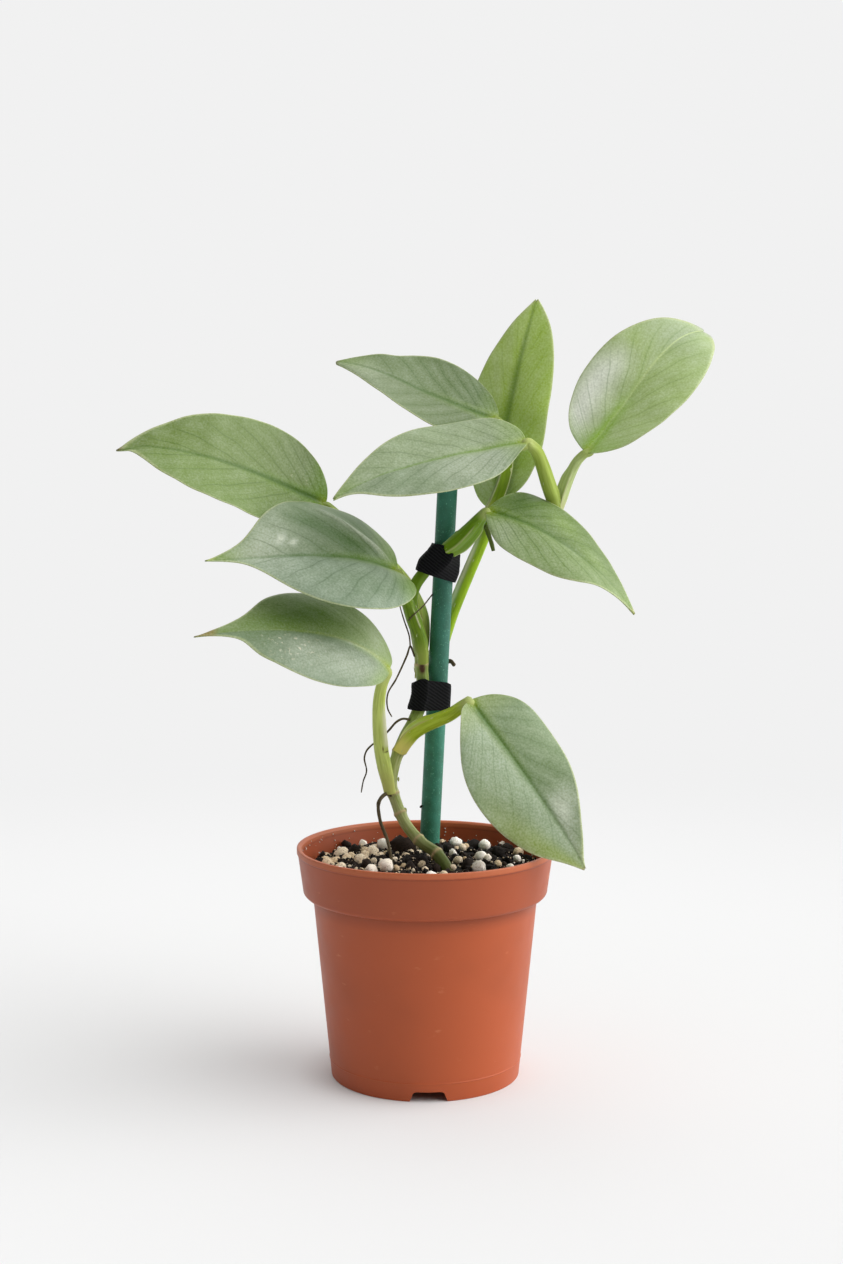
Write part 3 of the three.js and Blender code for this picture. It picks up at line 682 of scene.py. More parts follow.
@dataclass(frozen=True)
class Crumbly(Finish):
    """Loose mineral or peat, broken and tumbled: a dull surface of tiny pits, with each lump a
    little lighter or darker than the next by the mark "tint"."""

    dark: str = "#120b07"
    light: str = "#24180f"
    pit: str = "#070403"
    pit_mm: float = 0.7
    depth_mm: float = 0.25

    def dress(self, tree: Tree) -> dict:
        """A tint for each lump, and pits.

        Args:
            tree: the node tree.

        Returns:
            What the shader's inputs are set or linked to.
        """
        at = add(tree, "TexCoord").outputs["Object"]
        tint = add(tree, "Attribute", attribute_name="tint").outputs["Fac"]
        lump = layered(tree, self.dark, [(tint, self.light)])
        pits = mottle(tree, at, per_mm(self.pit_mm), self.pit, lump, (0.3, 0.48), 4)
        relief = add(tree, "TexNoise", {"Vector": at, "Scale": per_mm(self.pit_mm), "Detail": 4.0})
        deep = self.depth_mm * MM
        bump = add(tree, "Bump", {"Height": relief, "Strength": 0.8, "Distance": deep})
        return {"Base Color": pits, "Normal": bump}


@dataclass(frozen=True)
class StippledCoat(Finish):
    """Polyethylene, extruded over a steel tube: a matte skin with a fine raised stipple, paler
    rubbed specks, and a deeper green above the lower tie, which is painted shade of the leaves."""

    body: str = "#398972"
    shade: str = "#2f775f"
    speck: str = "#66b294"
    # deep: the colour of painted shade that the leaves cast on the upper stake
    deep: str = "#1d4f43"
    cloud_mm: float = 6.0
    speck_mm: float = 0.8
    stipple_mm: float = 1.1

    def dress(self, tree: Tree) -> dict:
        """Clouds, the painted shade toward the top, specks and the stipple.

        Args:
            tree: the node tree.

        Returns:
            What the shader's inputs are set or linked to.
        """
        at = add(tree, "TexCoord").outputs["Object"]
        cloudy = mottle(tree, at, per_mm(self.cloud_mm), self.shade, self.body, (0.3, 0.7), 3)
        height = add(tree, "SeparateXYZ", {0: at}).outputs[2]
        # Painted shade of the leaves: darker from 165 to 190 mm up, and above.
        painted_leaf_shade = add(
            tree, "MapRange",
            {"Value": height, "From Min": 165 * MM, "From Max": 190 * MM, "To Max": 0.4},
        )
        coat = layered(tree, cloudy, [(painted_leaf_shade, self.deep)])
        specks = mottle(tree, at, per_mm(self.speck_mm), coat, self.speck, (0.6, 0.74), 3)
        cells = add(tree, "TexVoronoi", {"Vector": at, "Scale": per_mm(self.stipple_mm)})
        raised = {"Height": cells, "Strength": 0.5, "Distance": 0.12 * MM}
        return {"Base Color": specks, "Normal": add(tree, "Bump", raised, invert=True)}


@dataclass(frozen=True)
class DrawnSteel(Finish):
    """Steel, drawn into tube: bare grey metal with faint lines along its length."""

    def dress(self, tree: Tree) -> dict:
        """Noise stretched along the tube.

        Args:
            tree: the node tree.

        Returns:
            What the shader's inputs are set or linked to.
        """
        at = add(tree, "TexCoord").outputs["Object"]
        lines = add(tree, "Mapping", {"Vector": at, "Scale": (1, 1, 0.03)})
        metal = mottle(tree, lines, per_mm(0.6), "#85888b", "#a9acae")
        return {"Metallic": 1.0, "Base Color": metal}


@dataclass(frozen=True)
class HookAndLoop(Finish):
    """Nylon, woven and brushed into loops: near black, with no gloss, a soft nap and ribs of the
    weave that run aslant across the band."""

    rib_mm: float = 1.3
    tuft_mm: float = 1.1
    thread_mm: float = 0.6

    def dress(self, tree: Tree) -> dict:
        """Ribs, tufts and nap. A Wave texture repeats every pi/10 of its coordinate.

        Args:
            tree: the node tree.

        Returns:
            What the shader's inputs are set or linked to.
        """
        at = add(tree, "TexCoord").outputs["Object"]
        slant = add(tree, "Mapping", {"Vector": at, "Rotation": (0.0, 0.9, 0.0)})
        rib = add(
            tree, "TexWave",
            {"Vector": slant, "Scale": per_mm(self.rib_mm) * math.pi / 10, "Distortion": 1.2,
             "Detail": 2.0, "Detail Scale": 1.5},
            bands_direction="X",
        )
        weave = layered(tree, "#030304", [(rib, "#1d1d20")])
        base = mottle(tree, at, per_mm(self.tuft_mm), weave, "#1b1b1d", (0.5, 0.8), 4)
        nap = add(tree, "TexNoise", {"Vector": at, "Scale": per_mm(self.thread_mm), "Detail": 3.0})
        height = add(tree, "Math", {0: rib, 1: nap}, operation="ADD")
        bump = add(tree, "Bump", {"Height": height, "Strength": 0.6, "Distance": 0.2 * MM})
        return {
            "Base Color": base, "Normal": bump, "Specular IOR Level": 0.12,
            "Sheen Weight": 0.02, "Sheen Roughness": 0.5,
        }


@dataclass(frozen=True)
class Stalk(Finish):
    """Living stalk, grown: a waxy green skin with fine streaks along it, pale specks, and parts
    that the marks "edge" (pale sheath edges), "scar" (dry torn spots), "foot" and "head" turn to
    colours of their own."""

    body: str = "#93a553"
    shade: str = "#7c8f3f"
    foot: str = "#a9ad57"
    head: str = "#93a553"
    edge: str = "#b9ad74"
    speck: str = "#c9cf9a"
    scar: str = "#4a2c16"
    streak_mm: float = 0.8
    speck_mm: float = 1.3

    def dress(self, tree: Tree) -> dict:
        """Streaks and short specks along the mark "grain", which is in mm, and the marks.

        Args:
            tree: the node tree.

        Returns:
            What the shader's inputs are set or linked to.
        """
        grain = add(tree, "Attribute", attribute_name="grain").outputs["Vector"]
        long = add(tree, "Mapping", {"Vector": grain, "Scale": (1, 1, 0.07)})
        base = mottle(tree, long, 1 / self.streak_mm, self.shade, self.body, (0.3, 0.62), 3)
        tones = {"foot": self.foot, "head": self.head, "edge": self.edge, "scar": self.scar}
        marked = layered(tree, base, [
            (add(tree, "Attribute", attribute_name=mark).outputs["Fac"], tone)
            for mark, tone in tones.items()
        ])
        dash = add(tree, "Mapping", {"Vector": grain, "Scale": (1, 1, 0.35)})
        specks = mottle(tree, dash, 1 / self.speck_mm, marked, self.speck, (0.68, 0.8), 2)
        relief = add(tree, "TexNoise", {"Vector": long, "Scale": 1 / self.streak_mm, "Detail": 4.0})
        bump = add(tree, "Bump", {"Height": relief, "Strength": 0.5, "Distance": 0.12 * MM})
        return {"Base Color": specks, "Normal": bump, "Specular IOR Level": 0.3}


@dataclass(frozen=True)
class LeafSkin(Finish):
    """Leaf, grown: a thin wax over silvery cells, which the eye sees as a metallic satin with a
    fine grain. Dark hairline veins sweep from a sunk midrib, faint pale streaks of painted sheen
    lie between them, and the margin is yellow-green. The colours are those of the two halves,
    a and b, with painted sheen and painted shade laid over them."""

    # a and b: where they differ, the difference is painted light and shade of how each half faces
    # the light
    a: str = "#93a486"
    b: str = "#93a486"
    base: str = "#8fa75f"
    # dark and light: the colours of painted shade and painted sheen
    dark: str = "#46682a"
    light: str = "#dde3d0"
    vein: str = "#46602c"
    midrib: str = "#476a1d"
    rim: str = "#c3cb98"
    tip: str = "#8a6a45"
    under: str = "#9db080"
    joint: str = "#a3b53a"
    fleck: str = "#e6dfc6"
    veins: float = 11.0
    vein_share: float = 0.24
    streak: float = 0.12
    rib_base: float = 0.85
    rib_end: float = 0.3
    rib_wide: float = 1.0
    cloud_mm: float = 7.0
    stray_mm: float = 18.0
    fleck_mm: float = 1.6
    grain_mm: float = 0.9
    grain: float = 0.2

    def side_veins(self, tree: Tree, at: Socket, mark: dict[str, Socket]) -> tuple[Node, Node]:
        """The side veins, and the bands between them.

        The distance to the nearest vein, in mm, is the distance of vein count times share from
        a whole number, times the spacing there. Two finer ones lie between.

        Args:
            tree: the node tree.
            at: the coordinates.
            mark: sockets of the blade's marks.

        Returns:
            How strong a vein is at a place, and how much painted sheen the band there takes.
        """
        wild = {"Vector": at, "Scale": per_mm(self.stray_mm), "Detail": 1.0}
        stray = add(tree, "TexNoise", wild)
        lines = []
        for times, thick, strength in ((1.0, 0.55, 1.0), (3.0, 0.35, 0.4)):
            many = {0: mark["vein"], 1: self.veins * times}
            count = add(tree, "Math", many, operation="MULTIPLY")
            bent = {0: stray, 1: 0.5 * times, 2: count}
            wander = add(tree, "Math", bent, operation="MULTIPLY_ADD")
            near = add(tree, "Math", {0: wander, 1: 0.5}, operation="PINGPONG")
            spacing = add(tree, "Math", {0: mark["pitch"], 1: 1 / times}, operation="MULTIPLY")
            off = add(tree, "Math", {0: near, 1: spacing}, operation="MULTIPLY")
            line = add(
                tree, "MapRange",
                {"Value": off, "From Min": thick, "From Max": 0.05, "To Max": strength},
                interpolation_type="SMOOTHSTEP",
            )
            lines.append((near, line))
        both = add(tree, "Math", {0: lines[0][1], 1: lines[1][1]}, operation="MAXIMUM")
        vein = add(tree, "Math", {0: both, 1: mark["reach"]}, operation="MULTIPLY")
        # Painted sheen: pale streaks between the side veins, where the swells catch the light.
        band = add(
            tree, "MapRange", {"Value": lines[0][0], "From Max": 0.5, "To Max": self.streak},
            interpolation_type="SMOOTHSTEP",
        )
        return vein, band

    def layers(
        self, tree: Tree, at: Socket, mark: dict[str, Socket], cloud: Node
    ) -> tuple[list[tuple], Node]:
        """Layers over the two halves' colours, and the side veins that the relief also reads.

        Near the petiole the blade is greener, along the midrib's foot and the margin yellower,
        at its tip brown, and the midrib itself is a sunk line that fades toward the tip.

        Args:
            tree: the node tree.
            at: the coordinates.
            mark: sockets of the blade's marks.
            cloud: a coarse noise.

        Returns:
            Share and colour of each layer, and how strong a side vein is at a place.
        """
        share = mark["share"]
        # The mark tone is painted sheen above 0 and painted shade below 0.
        ranges = {
            "silver": {"Value": mark["tone"]},
            "painted_shade": {"Value": mark["tone"], "From Max": -1.0},
            "foot": {"Value": share, "From Min": 0.16, "From Max": 0.0, "To Max": 0.6},
            "glow_off": {"Value": mark["rib"], "From Min": 4.5, "From Max": 0.5},
            "glow_on": {"Value": share, "From Min": 0.5, "From Max": 0.05, "To Max": 0.6},
            "edge": {"Value": mark["rim"], "From Min": 0.6, "From Max": 0.1, "To Max": 0.6},
            "end": {"Value": share, "From Min": 0.972, "From Max": 0.998},
            "fade": {"Value": share, "To Min": self.rib_base, "To Max": self.rib_end},
        }
        part = {name: add(tree, "MapRange", inputs) for name, inputs in ranges.items()}
        vein, band = self.side_veins(tree, at, mark)
        wide = add(tree, "Math", {0: mark["rib"], 1: mark["ribwide"]}, operation="DIVIDE")
        groove = add(
            tree, "MapRange", {"Value": wide, "From Min": 1.6 * self.rib_wide, "From Max": 0.2},
            interpolation_type="SMOOTHSTEP",
        )
        fine = {"Vector": at, "Scale": per_mm(self.fleck_mm), "Detail": 2.0}
        dust = add(tree, "TexNoise", fine)
        specks = add(tree, "MapRange", {"Value": dust, "From Min": 0.6, "From Max": 0.72})
        painted_sheen_streaks, faint, glow, ribline, flecks = (
            add(tree, "Math", {0: one, 1: other}, operation="MULTIPLY")
            for one, other in (
                (band, cloud), (vein, self.vein_share), (part["glow_off"], part["glow_on"]),
                (groove, part["fade"]), (specks, mark["flecks"]),
            )
        )
        # First the painted sheen streaks, the painted sheen and the painted shade, then the leaf's
        # own colours.
        layers = [
            (painted_sheen_streaks, self.light), (part["silver"], self.light), (part["painted_shade"], self.dark),
            (faint, self.vein), (mark["fresh"], self.base), (part["foot"], self.base),
            (glow, self.base), (part["edge"], self.rim), (part["end"], self.tip),
            (ribline, self.midrib), (flecks, self.fleck), (mark["joint"], self.joint),
            (mark["under"], self.under),
        ]
        return layers, vein

    def dress(self, tree: Tree) -> dict:
        """The layers, then the grain of the cells: a fine speckle and a coarser cloud of it,
        greener where dark.

        Args:
            tree: the node tree.

        Returns:
            What the shader's inputs are set or linked to.
        """
        at = add(tree, "TexCoord").outputs["Object"]
        names = (
            "half", "vein", "pitch", "rib", "ribwide", "rim", "share", "tone", "under", "reach",
            "joint", "flecks", "fresh",
        )
        mark = {key: add(tree, "Attribute", attribute_name=key).outputs["Fac"] for key in names}
        grain = add(tree, "TexNoise", {"Vector": at, "Scale": per_mm(self.grain_mm), "Detail": 3.0})
        cloud = add(tree, "TexNoise", {"Vector": at, "Scale": per_mm(self.cloud_mm), "Detail": 5.0})
        layers, vein = self.layers(tree, at, mark, cloud)
        colour = layered(tree, self.b, [(mark["half"], self.a), *layers])
        both = add(tree, "Math", {0: cloud, 1: 0.35, 2: grain}, operation="MULTIPLY_ADD")
        less, more = 1 - self.grain, 1 + 0.8 * self.grain
        value, rich, gloss = (
            add(
                tree, "MapRange",
                {"Value": both, "From Min": 0.47, "From Max": 0.88, "To Min": low, "To Max": high},
            )
            for low, high in (
                (less, more), (2 - less, 2 - more), (self.rough - 0.05, self.rough + 0.09),
            )
        )
        final = add(tree, "HueSaturation", {"Saturation": rich, "Value": value, "Color": colour})
        matt = add(tree, "Math", {0: mark["under"], 1: 0.15, 2: gloss}, operation="MULTIPLY_ADD")
        sunk = add(tree, "Math", {0: vein, 1: -0.6, 2: grain}, operation="MULTIPLY_ADD")
        bump = add(tree, "Bump", {"Height": sunk, "Strength": 0.35, "Distance": 0.1 * MM})
        return {
            "Base Color": final, "Roughness": matt, "Normal": bump, "Specular IOR Level": 0.4,
        }


# ---------------------------------------------------------------- pot


@dataclass
class NurseryPot:
    """Round pot: tapered wall, stepped collar, lip, raised floor with holes, foot with notches."""

    rim: float = 60.0
    height: float = 108.4
    lip: float = 3.0
    collar_top: float = 59.5
    mouth: float = 57.6
    collar_foot: float = 57.0
    collar_z: float = 86.0
    body_top: float = 52.5
    foot: float = 44.2
    wall: float = 1.4
    floor_low: float = 5.6
    floor_top: float = 7.0
    segments: int = 192
    notch_wide: float = 15.0
    notch_high: float = 4.7
    notch_angles: tuple[float, ...] = (-88.0, 32.0, 152.0)
    hole: float = 4.0
    hole_ring: float = 30.0
    holes: int = 8

    def profile(self) -> Array:
        """Radius and height of the wall, from the middle of the underside round to the inside.

        Returns:
            Radius and height by row, mm.
        """
        ring_z = 8.5
        slope = (self.body_top - self.foot) / (self.collar_z - 0.6)
        ring_r = self.foot + slope * ring_z
        return rounded(
            [
                (0, self.floor_low, 0),
                (self.foot - 1.6, self.floor_low, 0.3),
                (self.foot - 1.6, 0, 0.25),
                (self.foot, 0, 0.4),
                (ring_r, ring_z - 0.35, 0.1),
                (ring_r + 0.24, ring_z, 0.12),
                (ring_r + 0.04, ring_z + 0.4, 0.1),
                (self.foot + slope * 50, 50, 0),
                (self.body_top, self.collar_z - 0.6, 0.3),
                (self.collar_foot - 1.2, self.collar_z, 0.5),
                (self.collar_foot, self.collar_z + 1.2, 0.7),
                (self.collar_top, self.height - self.lip, 0.25),
                (self.rim, self.height - self.lip + 0.35, 0.3),
                (self.rim, self.height, 0.55),
                (self.mouth + 0.9, self.height, 0.4),
                (self.mouth - 0.1, self.height - 0.9, 0.4),
                (self.collar_foot - self.wall, self.collar_z + 1.8, 0.6),
                (self.body_top - self.wall, self.collar_z + 0.8, 0.6),
                (self.foot - self.wall + 0.6, self.floor_top, 0.8),
                (0, self.floor_top, 0),
            ]
        )

    def notch(self, angle: float) -> Shape:
        """One notch's cutter: an arch with round corners that widens down, pushed through the wall.

        Args:
            angle: degrees from +X.

        Returns:
            The cutter.
        """
        half, corner, flare = self.notch_wide / 2, 2.0, 1.6
        t = np.linspace(0, np.pi / 2, 6)
        across = np.concatenate([
            [-half - flare, half + flare], half - corner + corner * np.cos(t),
            corner - half - corner * np.sin(t),
        ])
        low = self.notch_high - corner
        up = np.concatenate([[-1, -1], low + corner * np.sin(t), low + corner * np.cos(t)])
        a = math.radians(angle)
        out = np.array([math.cos(a), math.sin(a), 0])
        side = np.array([-math.sin(a), math.cos(a), 0])
        arch = across[:, None] * side + up[:, None] * np.array([0, 0, 1.0])
        return rings(np.stack([arch + out * (self.foot - 6), arch + out * (self.foot + 6)]))

    def drill(self, x: float, y: float) -> Shape:
        """One drain hole's cutter.

        Args:
            x: mm to the right.
            y: mm to the back.

        Returns:
            The cutter.
        """
        ends = np.array([[self.hole, self.floor_low - 3.0], [self.hole, self.floor_top + 4]])
        bar = lathed(ends, 32)
        bar.points += [x, y, 0]
        return bar

    def build(self) -> Piece:
        """Cuts the notches and the holes out of the lathed wall.

        Returns:
            The pot.
        """
        pot = write_mesh("pot_moulded", lathed(self.profile()[1:-1], self.segments))
        spots = [(0.0, 0.0)] + [
            (self.hole_ring * math.cos(a), self.hole_ring * math.sin(a))
            for a in turns(self.holes)
        ]
        cutters = [self.notch(angle) for angle in self.notch_angles]
        cutters += [self.drill(x, y) for x, y in spots]
        tool = write_mesh("cutters", joined(cutters))
        cut = pot.modifiers.new("cut", "BOOLEAN")
        cut.object, cut.operation, cut.solver = tool, "DIFFERENCE", "EXACT"
        graph = bpy.context.evaluated_depsgraph_get()
        mesh = bpy.data.meshes.new_from_object(pot.evaluated_get(graph))
        pot.modifiers.clear()
        pot.data = mesh
        mesh.shade_smooth()
        mesh.set_sharp_from_angle(angle=math.radians(38))
        bpy.data.objects.remove(tool)
        finish = MouldedPot("moulded_polypropylene", rough=0.44, ior=1.4).material()
        return place(pot, finish, "pot", "pot")


# ---------------------------------------------------------------- soil


SOIL_TOP = 98.5


def soil_height(x: Array, y: Array) -> Array:
    """Height of the soil: its top at the wall, plus a mound of 3(1 - r^2), plus two waves of lumps.

    Args:
        x: mm to the right.
        y: mm to the back.

    Returns:
        Heights, mm.
    """
    reach = np.hypot(x, y) / 57.0
    lumps = 0.7 * np.sin(x * 0.33 + 1) * np.cos(y * 0.29) + 0.4 * np.sin(x * 0.71 - y * 0.53 + 2)
    return SOIL_TOP + 3.0 * (1 - reach**2) + lumps


@dataclass
class PottingMix:
    """Peat with pumice and perlite: an uneven bed, and the loose pieces lying in and on it.

    Pieces are listed by x, y and radius, and swell by one factor; the one crumb that is stuck to
    the stake is listed by x, y, z and radius.
    """

    reach: float = 55.2
    low: float = 88.5
    perlite: tuple[tuple[float, float, float], ...] = (
        (-24.4, -24.0, 2.7), (-17.9, -22.6, 2.8), (24.6, -20.5, 2.8), (28.7, 27.6, 2.7),
        (25.9, 2.6, 2.6), (29.1, 2.2, 2.0), (14.9, 35.1, 2.6), (37.7, 41.4, 1.4),
        (39.4, -10.9, 1.8), (-19.8, 23.7, 2.6), (-13.0, 39.0, 2.2), (-7.5, 31.5, 1.5),
        (13.0, 7.4, 1.6), (43.4, 6.3, 1.8), (-40, -24, 2.4), (3, -40, 2.6), (34, -30, 2.2),
        (-30, 36, 2.2), (20, -36, 1.8), (-8, -47, 2.0),
    )
    pumice: tuple[tuple[float, float, float], ...] = (
        (18.0, 22.6, 1.9), (8.3, 45.1, 1.5), (44.6, 20.6, 2.3), (-40.1, 13.8, 2.9),
        (-47.0, 3.7, 2.1), (-42.1, -1.8, 2.3), (-45.5, -9.8, 2.4), (-38.6, -12.7, 2.0),
        (-37.1, 4.1, 2.0), (-34.6, 9.3, 2.0), (-30.5, -3.7, 2.5), (-29.1, 22.6, 1.9),
        (-24.9, 11.1, 2.4), (-24.4, 25.7, 1.8), (-15.4, 29.9, 1.6), (-21.5, 3.7, 1.8),
        (-18.0, -9.1, 1.6), (15.2, -5.5, 2.0), (12.6, -18.0, 1.4), (33.6, -7.3, 1.6),
        (-13.1, -19.8, 1.4), (-9.9, -16.2, 1.4), (-37.6, 27.6, 1.4), (-4.1, 18.7, 1.4),
    )
    clumps: tuple[tuple[float, float, float], ...] = (
        (-10.2, 14.9, 4.6), (4.5, 7.4, 3.4), (-33.8, 20.6, 2.8), (-38.1, 38.2, 2.4),
        (23.4, 30.3, 3.2), (-16.6, 5.5, 2.4), (-49.0, 1.8, 2.2), (-6.8, -18.0, 2.6),
        (-1.2, -7.3, 2.8), (10.0, 24.5, 2.4), (12.0, 20.6, 2.4), (34.0, 14.0, 3.0),
        (20.0, -12.0, 2.8), (-27.0, -14.0, 2.4), (40.0, 30.0, 2.6),
    )
    stuck: tuple[tuple[float, float, float, float], ...] = ((-1.9, 17.6, 123.4, 0.75),)
    swell: float = 1.15

    def bed(self) -> Shape:
        """The bed: a polar grid at the soil's height plus two sizes of ripple, closed below.

        Returns:
            The closed bed.
        """
        radius = np.concatenate([[self.reach - 0.6, self.reach], np.linspace(self.reach, 1, 70)])
        x, y = polar(radius, 200)
        flat = stacked(x, y, 0.0)
        z = soil_height(x, y) - 0.9 + 0.9 * ripple(flat, 7, 3, 14) + 0.5 * ripple(flat, 2.6, 4, 20)
        z[:2] = self.low
        z[2] = np.minimum(z[2], 98)
        return rings(np.stack([x, y, z], -1))

    def drawn(self, count: int, sizes: tuple[float, float], crowd: float, seed: int) -> Array:
        """Places of loose pieces: some crowded on the left, the rest all over.

        Args:
            count: number of pieces.
            sizes: smallest and largest radius, mm.
            crowd: share that lies round the left middle.
            seed: start of the draw.

        Returns:
            x, y and radius of each, without those at the stem, the stake and the root.
        """
        draw = np.random.default_rng(seed)
        angle, far = draw.uniform(0, 2 * np.pi, count), np.sqrt(draw.uniform(0, 1, count))
        left = draw.uniform(size=count) < crowd
        x = np.where(left, -22 + 31 * far * np.cos(angle), 53.5 * far * np.cos(angle))
        y = np.where(left, 2 + 34 * far * np.sin(angle), 53.5 * far * np.sin(angle))
        size = sizes[0] + (sizes[1] - sizes[0]) * draw.uniform(size=count) ** 1.6
        keep = np.hypot(x, y) < 54.6 - size
        for cx, cy, room in ((11.5, -18, 4.2), (1.9, 20.2, 5.4), (-14.6, -23, 2.2)):
            keep &= np.hypot(x - cx, y - cy) > room + size
        return np.stack([x, y, size], -1)[keep]

    def settled(self, spots: Array, sink: float, ground: Array | None = None) -> Array:
        """Places with heights: on the bed, sunk by a share of the radius, and on larger pieces.

        Args:
            spots: x, y and radius.
            sink: share of the radius that is below the bed.
            ground: x, y, z and radius of larger pieces already there, or None.

        Returns:
            x, y, z and radius.
        """
        x, y, size = spots.T
        z = soil_height(x, y) + size * (1 - 2 * sink) - 0.4
        if ground is not None:
            gap = np.hypot(x[:, None] - ground[:, 0], y[:, None] - ground[:, 1])
            under = ground[:, 2] + 0.8 * np.sqrt(np.maximum(ground[:, 3] ** 2 - gap**2, 0))
            top = np.where(gap < ground[:, 3], under, -1e3).max(1)
            z = np.maximum(z, top + 0.2 * size)
        return np.stack([x, y, z, size], -1)

    def build(self) -> list[Piece]:
        """Builds the bed and the loose pieces, each kind one piece with its own finish.

        Returns:
            The pieces.
        """
        peat = Crumbly("milled_peat", rough=0.95)
        bed = place(write_mesh("soil_bed", self.bed()), peat.material(), "soil", "soil")
        white, cream, lumps = (
            self.settled(np.array(spots) * [1, 1, self.swell], sink)
            for spots, sink in ((self.perlite, 0.12), (self.pumice, 0.15), (self.clumps, 0.25))
        )
        small_white = self.settled(self.drawn(220, (0.3, 0.9), 0.3, 21), 0.3, cream)
        beads = self.settled(self.drawn(150, (0.9, 2.1), 0.8, 22), 0.22)
        crumbs = self.settled(self.drawn(1700, (0.5, 1.9), 0.35, 23), 0.3)
        crumbs = np.concatenate([crumbs, np.array(self.stuck)])
        dust = self.settled(self.drawn(900, (0.2, 0.5), 0.2, 24), 0.2, crumbs)
        fine = ball(7, 12)
        bead = ball(5, 8)
        coarse = ball(4, 6)
        pieces = [bed]
        kinds = (
            (
                "perlite_lumps", ((white, fine, 0.12), (small_white, coarse, 0.2)),
                Crumbly("expanded_perlite", 0.9, 1.5, "#fff2e2", "#fffaf2", "#d6c6b2", 0.9, 0.3),
            ),
            (
                "pumice_beads", ((cream, fine, 0.07), (beads, bead, 0.09), (dust, coarse, 0.15)),
                Crumbly("tumbled_pumice", 0.9, 1.5, "#d6ba94", "#ffedd2", "#8d7453", 0.6, 0.25),
            ),
            (
                "peat_crumbs", ((lumps, fine, 0.22), (crumbs, coarse, 0.35)),
                Crumbly("peat_crumb", 0.95, 1.45, "#0c0704", "#2a1b11", "#060302", 0.8, 0.5),
            ),
        )
        for name, layers, finish in kinds:
            shapes = [
                scattered(seed, spots[:, :3], spots[:, 3], rough, 40 + k)
                for k, (spots, seed, rough) in enumerate(layers)
            ]
            pieces.append(place(write_mesh(name, joined(shapes)), finish.material(), "soil"))
        pieces.append(self.flecks())
        return pieces

    def flecks(self) -> Piece:
        """Perlite dust stuck to the pot's inner wall above the soil.

        Returns:
            The piece.
        """
        draw = np.random.default_rng(31)
        count = 130
        angle = draw.uniform(0, 2 * np.pi, count)
        z = SOIL_TOP + 8 * draw.uniform(size=count) ** 1.4
        # The collar's inner wall goes from radius 55.6 at z 87.8 to 57.5 at 107.6.
        wall = np.interp(z, (87.8, 107.6), (55.6, 57.5)) - 0.05
        places = np.stack([wall * np.cos(angle), wall * np.sin(angle), z], -1)
        shape = scattered(ball(3, 5), places, draw.uniform(0.18, 0.5, count), 0.2, 32)
        finish = Crumbly("perlite_dust", 0.9, 1.5, "#cfc7ba", "#efece4", "#b9b0a2", 0.5, 0.05)
        return place(write_mesh("perlite_flecks", shape), finish.material(), "soil")


# ---------------------------------------------------------------- stake and ties


@dataclass
class Stake:
    """Plastic-coated steel stake with a plug-in point and cap, leaning a little to the right."""

    foot: Point = (-2.4, 19.8, 14.0)
    top: Point = (11.3, 21.0, 292.0)
    radius: float = 4.75
    coat: float = 0.6
    gap: float = 0.3
    tube_wall: float = 1.0
    coat_from: float = 9.0
    plug: float = 8.0
    segments: int = 64

    @property
    def length(self) -> float:
        """Length from the point's end to the cap's top."""
        return float(np.linalg.norm(np.subtract(self.top, self.foot)))

    def at(self, share: Array) -> Array:
        """Points on the axis."""
        return np.asarray(self.foot) + share[:, None] * np.subtract(self.top, self.foot)

    def set_up(self, shape: Shape) -> Shape:
        """Leans a shape turned about +Z onto the stake's axis and sets it on the foot.

        The axis d and +Z are joined by the rotation p + w x p + (w x (w x p))/(1 + d.z), with
        w = z x d.

        Args:
            shape: the shape, which is moved.

        Returns:
            The shape.
        """
        d = unit(np.subtract(self.top, self.foot))
        w = np.cross([0, 0, 1], d)
        once = np.cross(w, shape.points)
        shape.points = shape.points + once + np.cross(w, once) / (1 + d[2]) + np.asarray(self.foot)
        return shape

    def build(self) -> list[Piece]:
        """Builds the coat, the point and the cap, all in one finish.

        Returns:
            The pieces.
        """
        bore = self.radius - self.coat
        end = self.length - 6
        plug = bore - self.gap - self.tube_wall - self.gap
        edge = 0.25
        coat = np.array(
            [
                [bore, self.coat_from], [self.radius - edge, self.coat_from],
                [self.radius, self.coat_from + edge], [self.radius, end - edge],
                [self.radius - edge, end], [bore, end],
            ]
        )
        rows = np.linspace(self.coat_from + 1, end - 1, 60)
        coat = np.concatenate([coat[:3], stacked(self.radius, rows), coat[3:]])
        point = rounded(
            [
                (0, 0, 0), (0.8, 0, 0.4), (self.radius, self.coat_from - self.gap, 0.3),
                (plug, self.coat_from - self.gap, 0), (plug, self.coat_from + self.plug, 0.5),
                (0, self.coat_from + self.plug, 0),
            ]
        )
        cap = rounded(
            [
                (0, end - self.plug, 0), (plug, end - self.plug, 0.5), (plug, end + self.gap, 0),
                (self.radius, end + self.gap, 0.3), (self.radius, self.length - 2.5, 1.0),
                (self.radius - 2, self.length - 0.4, 1.0), (0, self.length, 0),
            ]
        )
        finish = StippledCoat("extruded_polyethylene", rough=0.55, ior=1.5).material()
        pieces = []
        parts = (("coat", coat, True), ("point", point[1:-1], False), ("cap", cap[1:-1], False))
        for name, profile, closed in parts:
            shape = self.set_up(lathed(profile, self.segments, closed))
            piece = write_mesh(f"stake_{name}_turned", shape, 40)
            pieces.append(place(piece, finish, "stake_plastic", f"stake_{name}"))
        return pieces


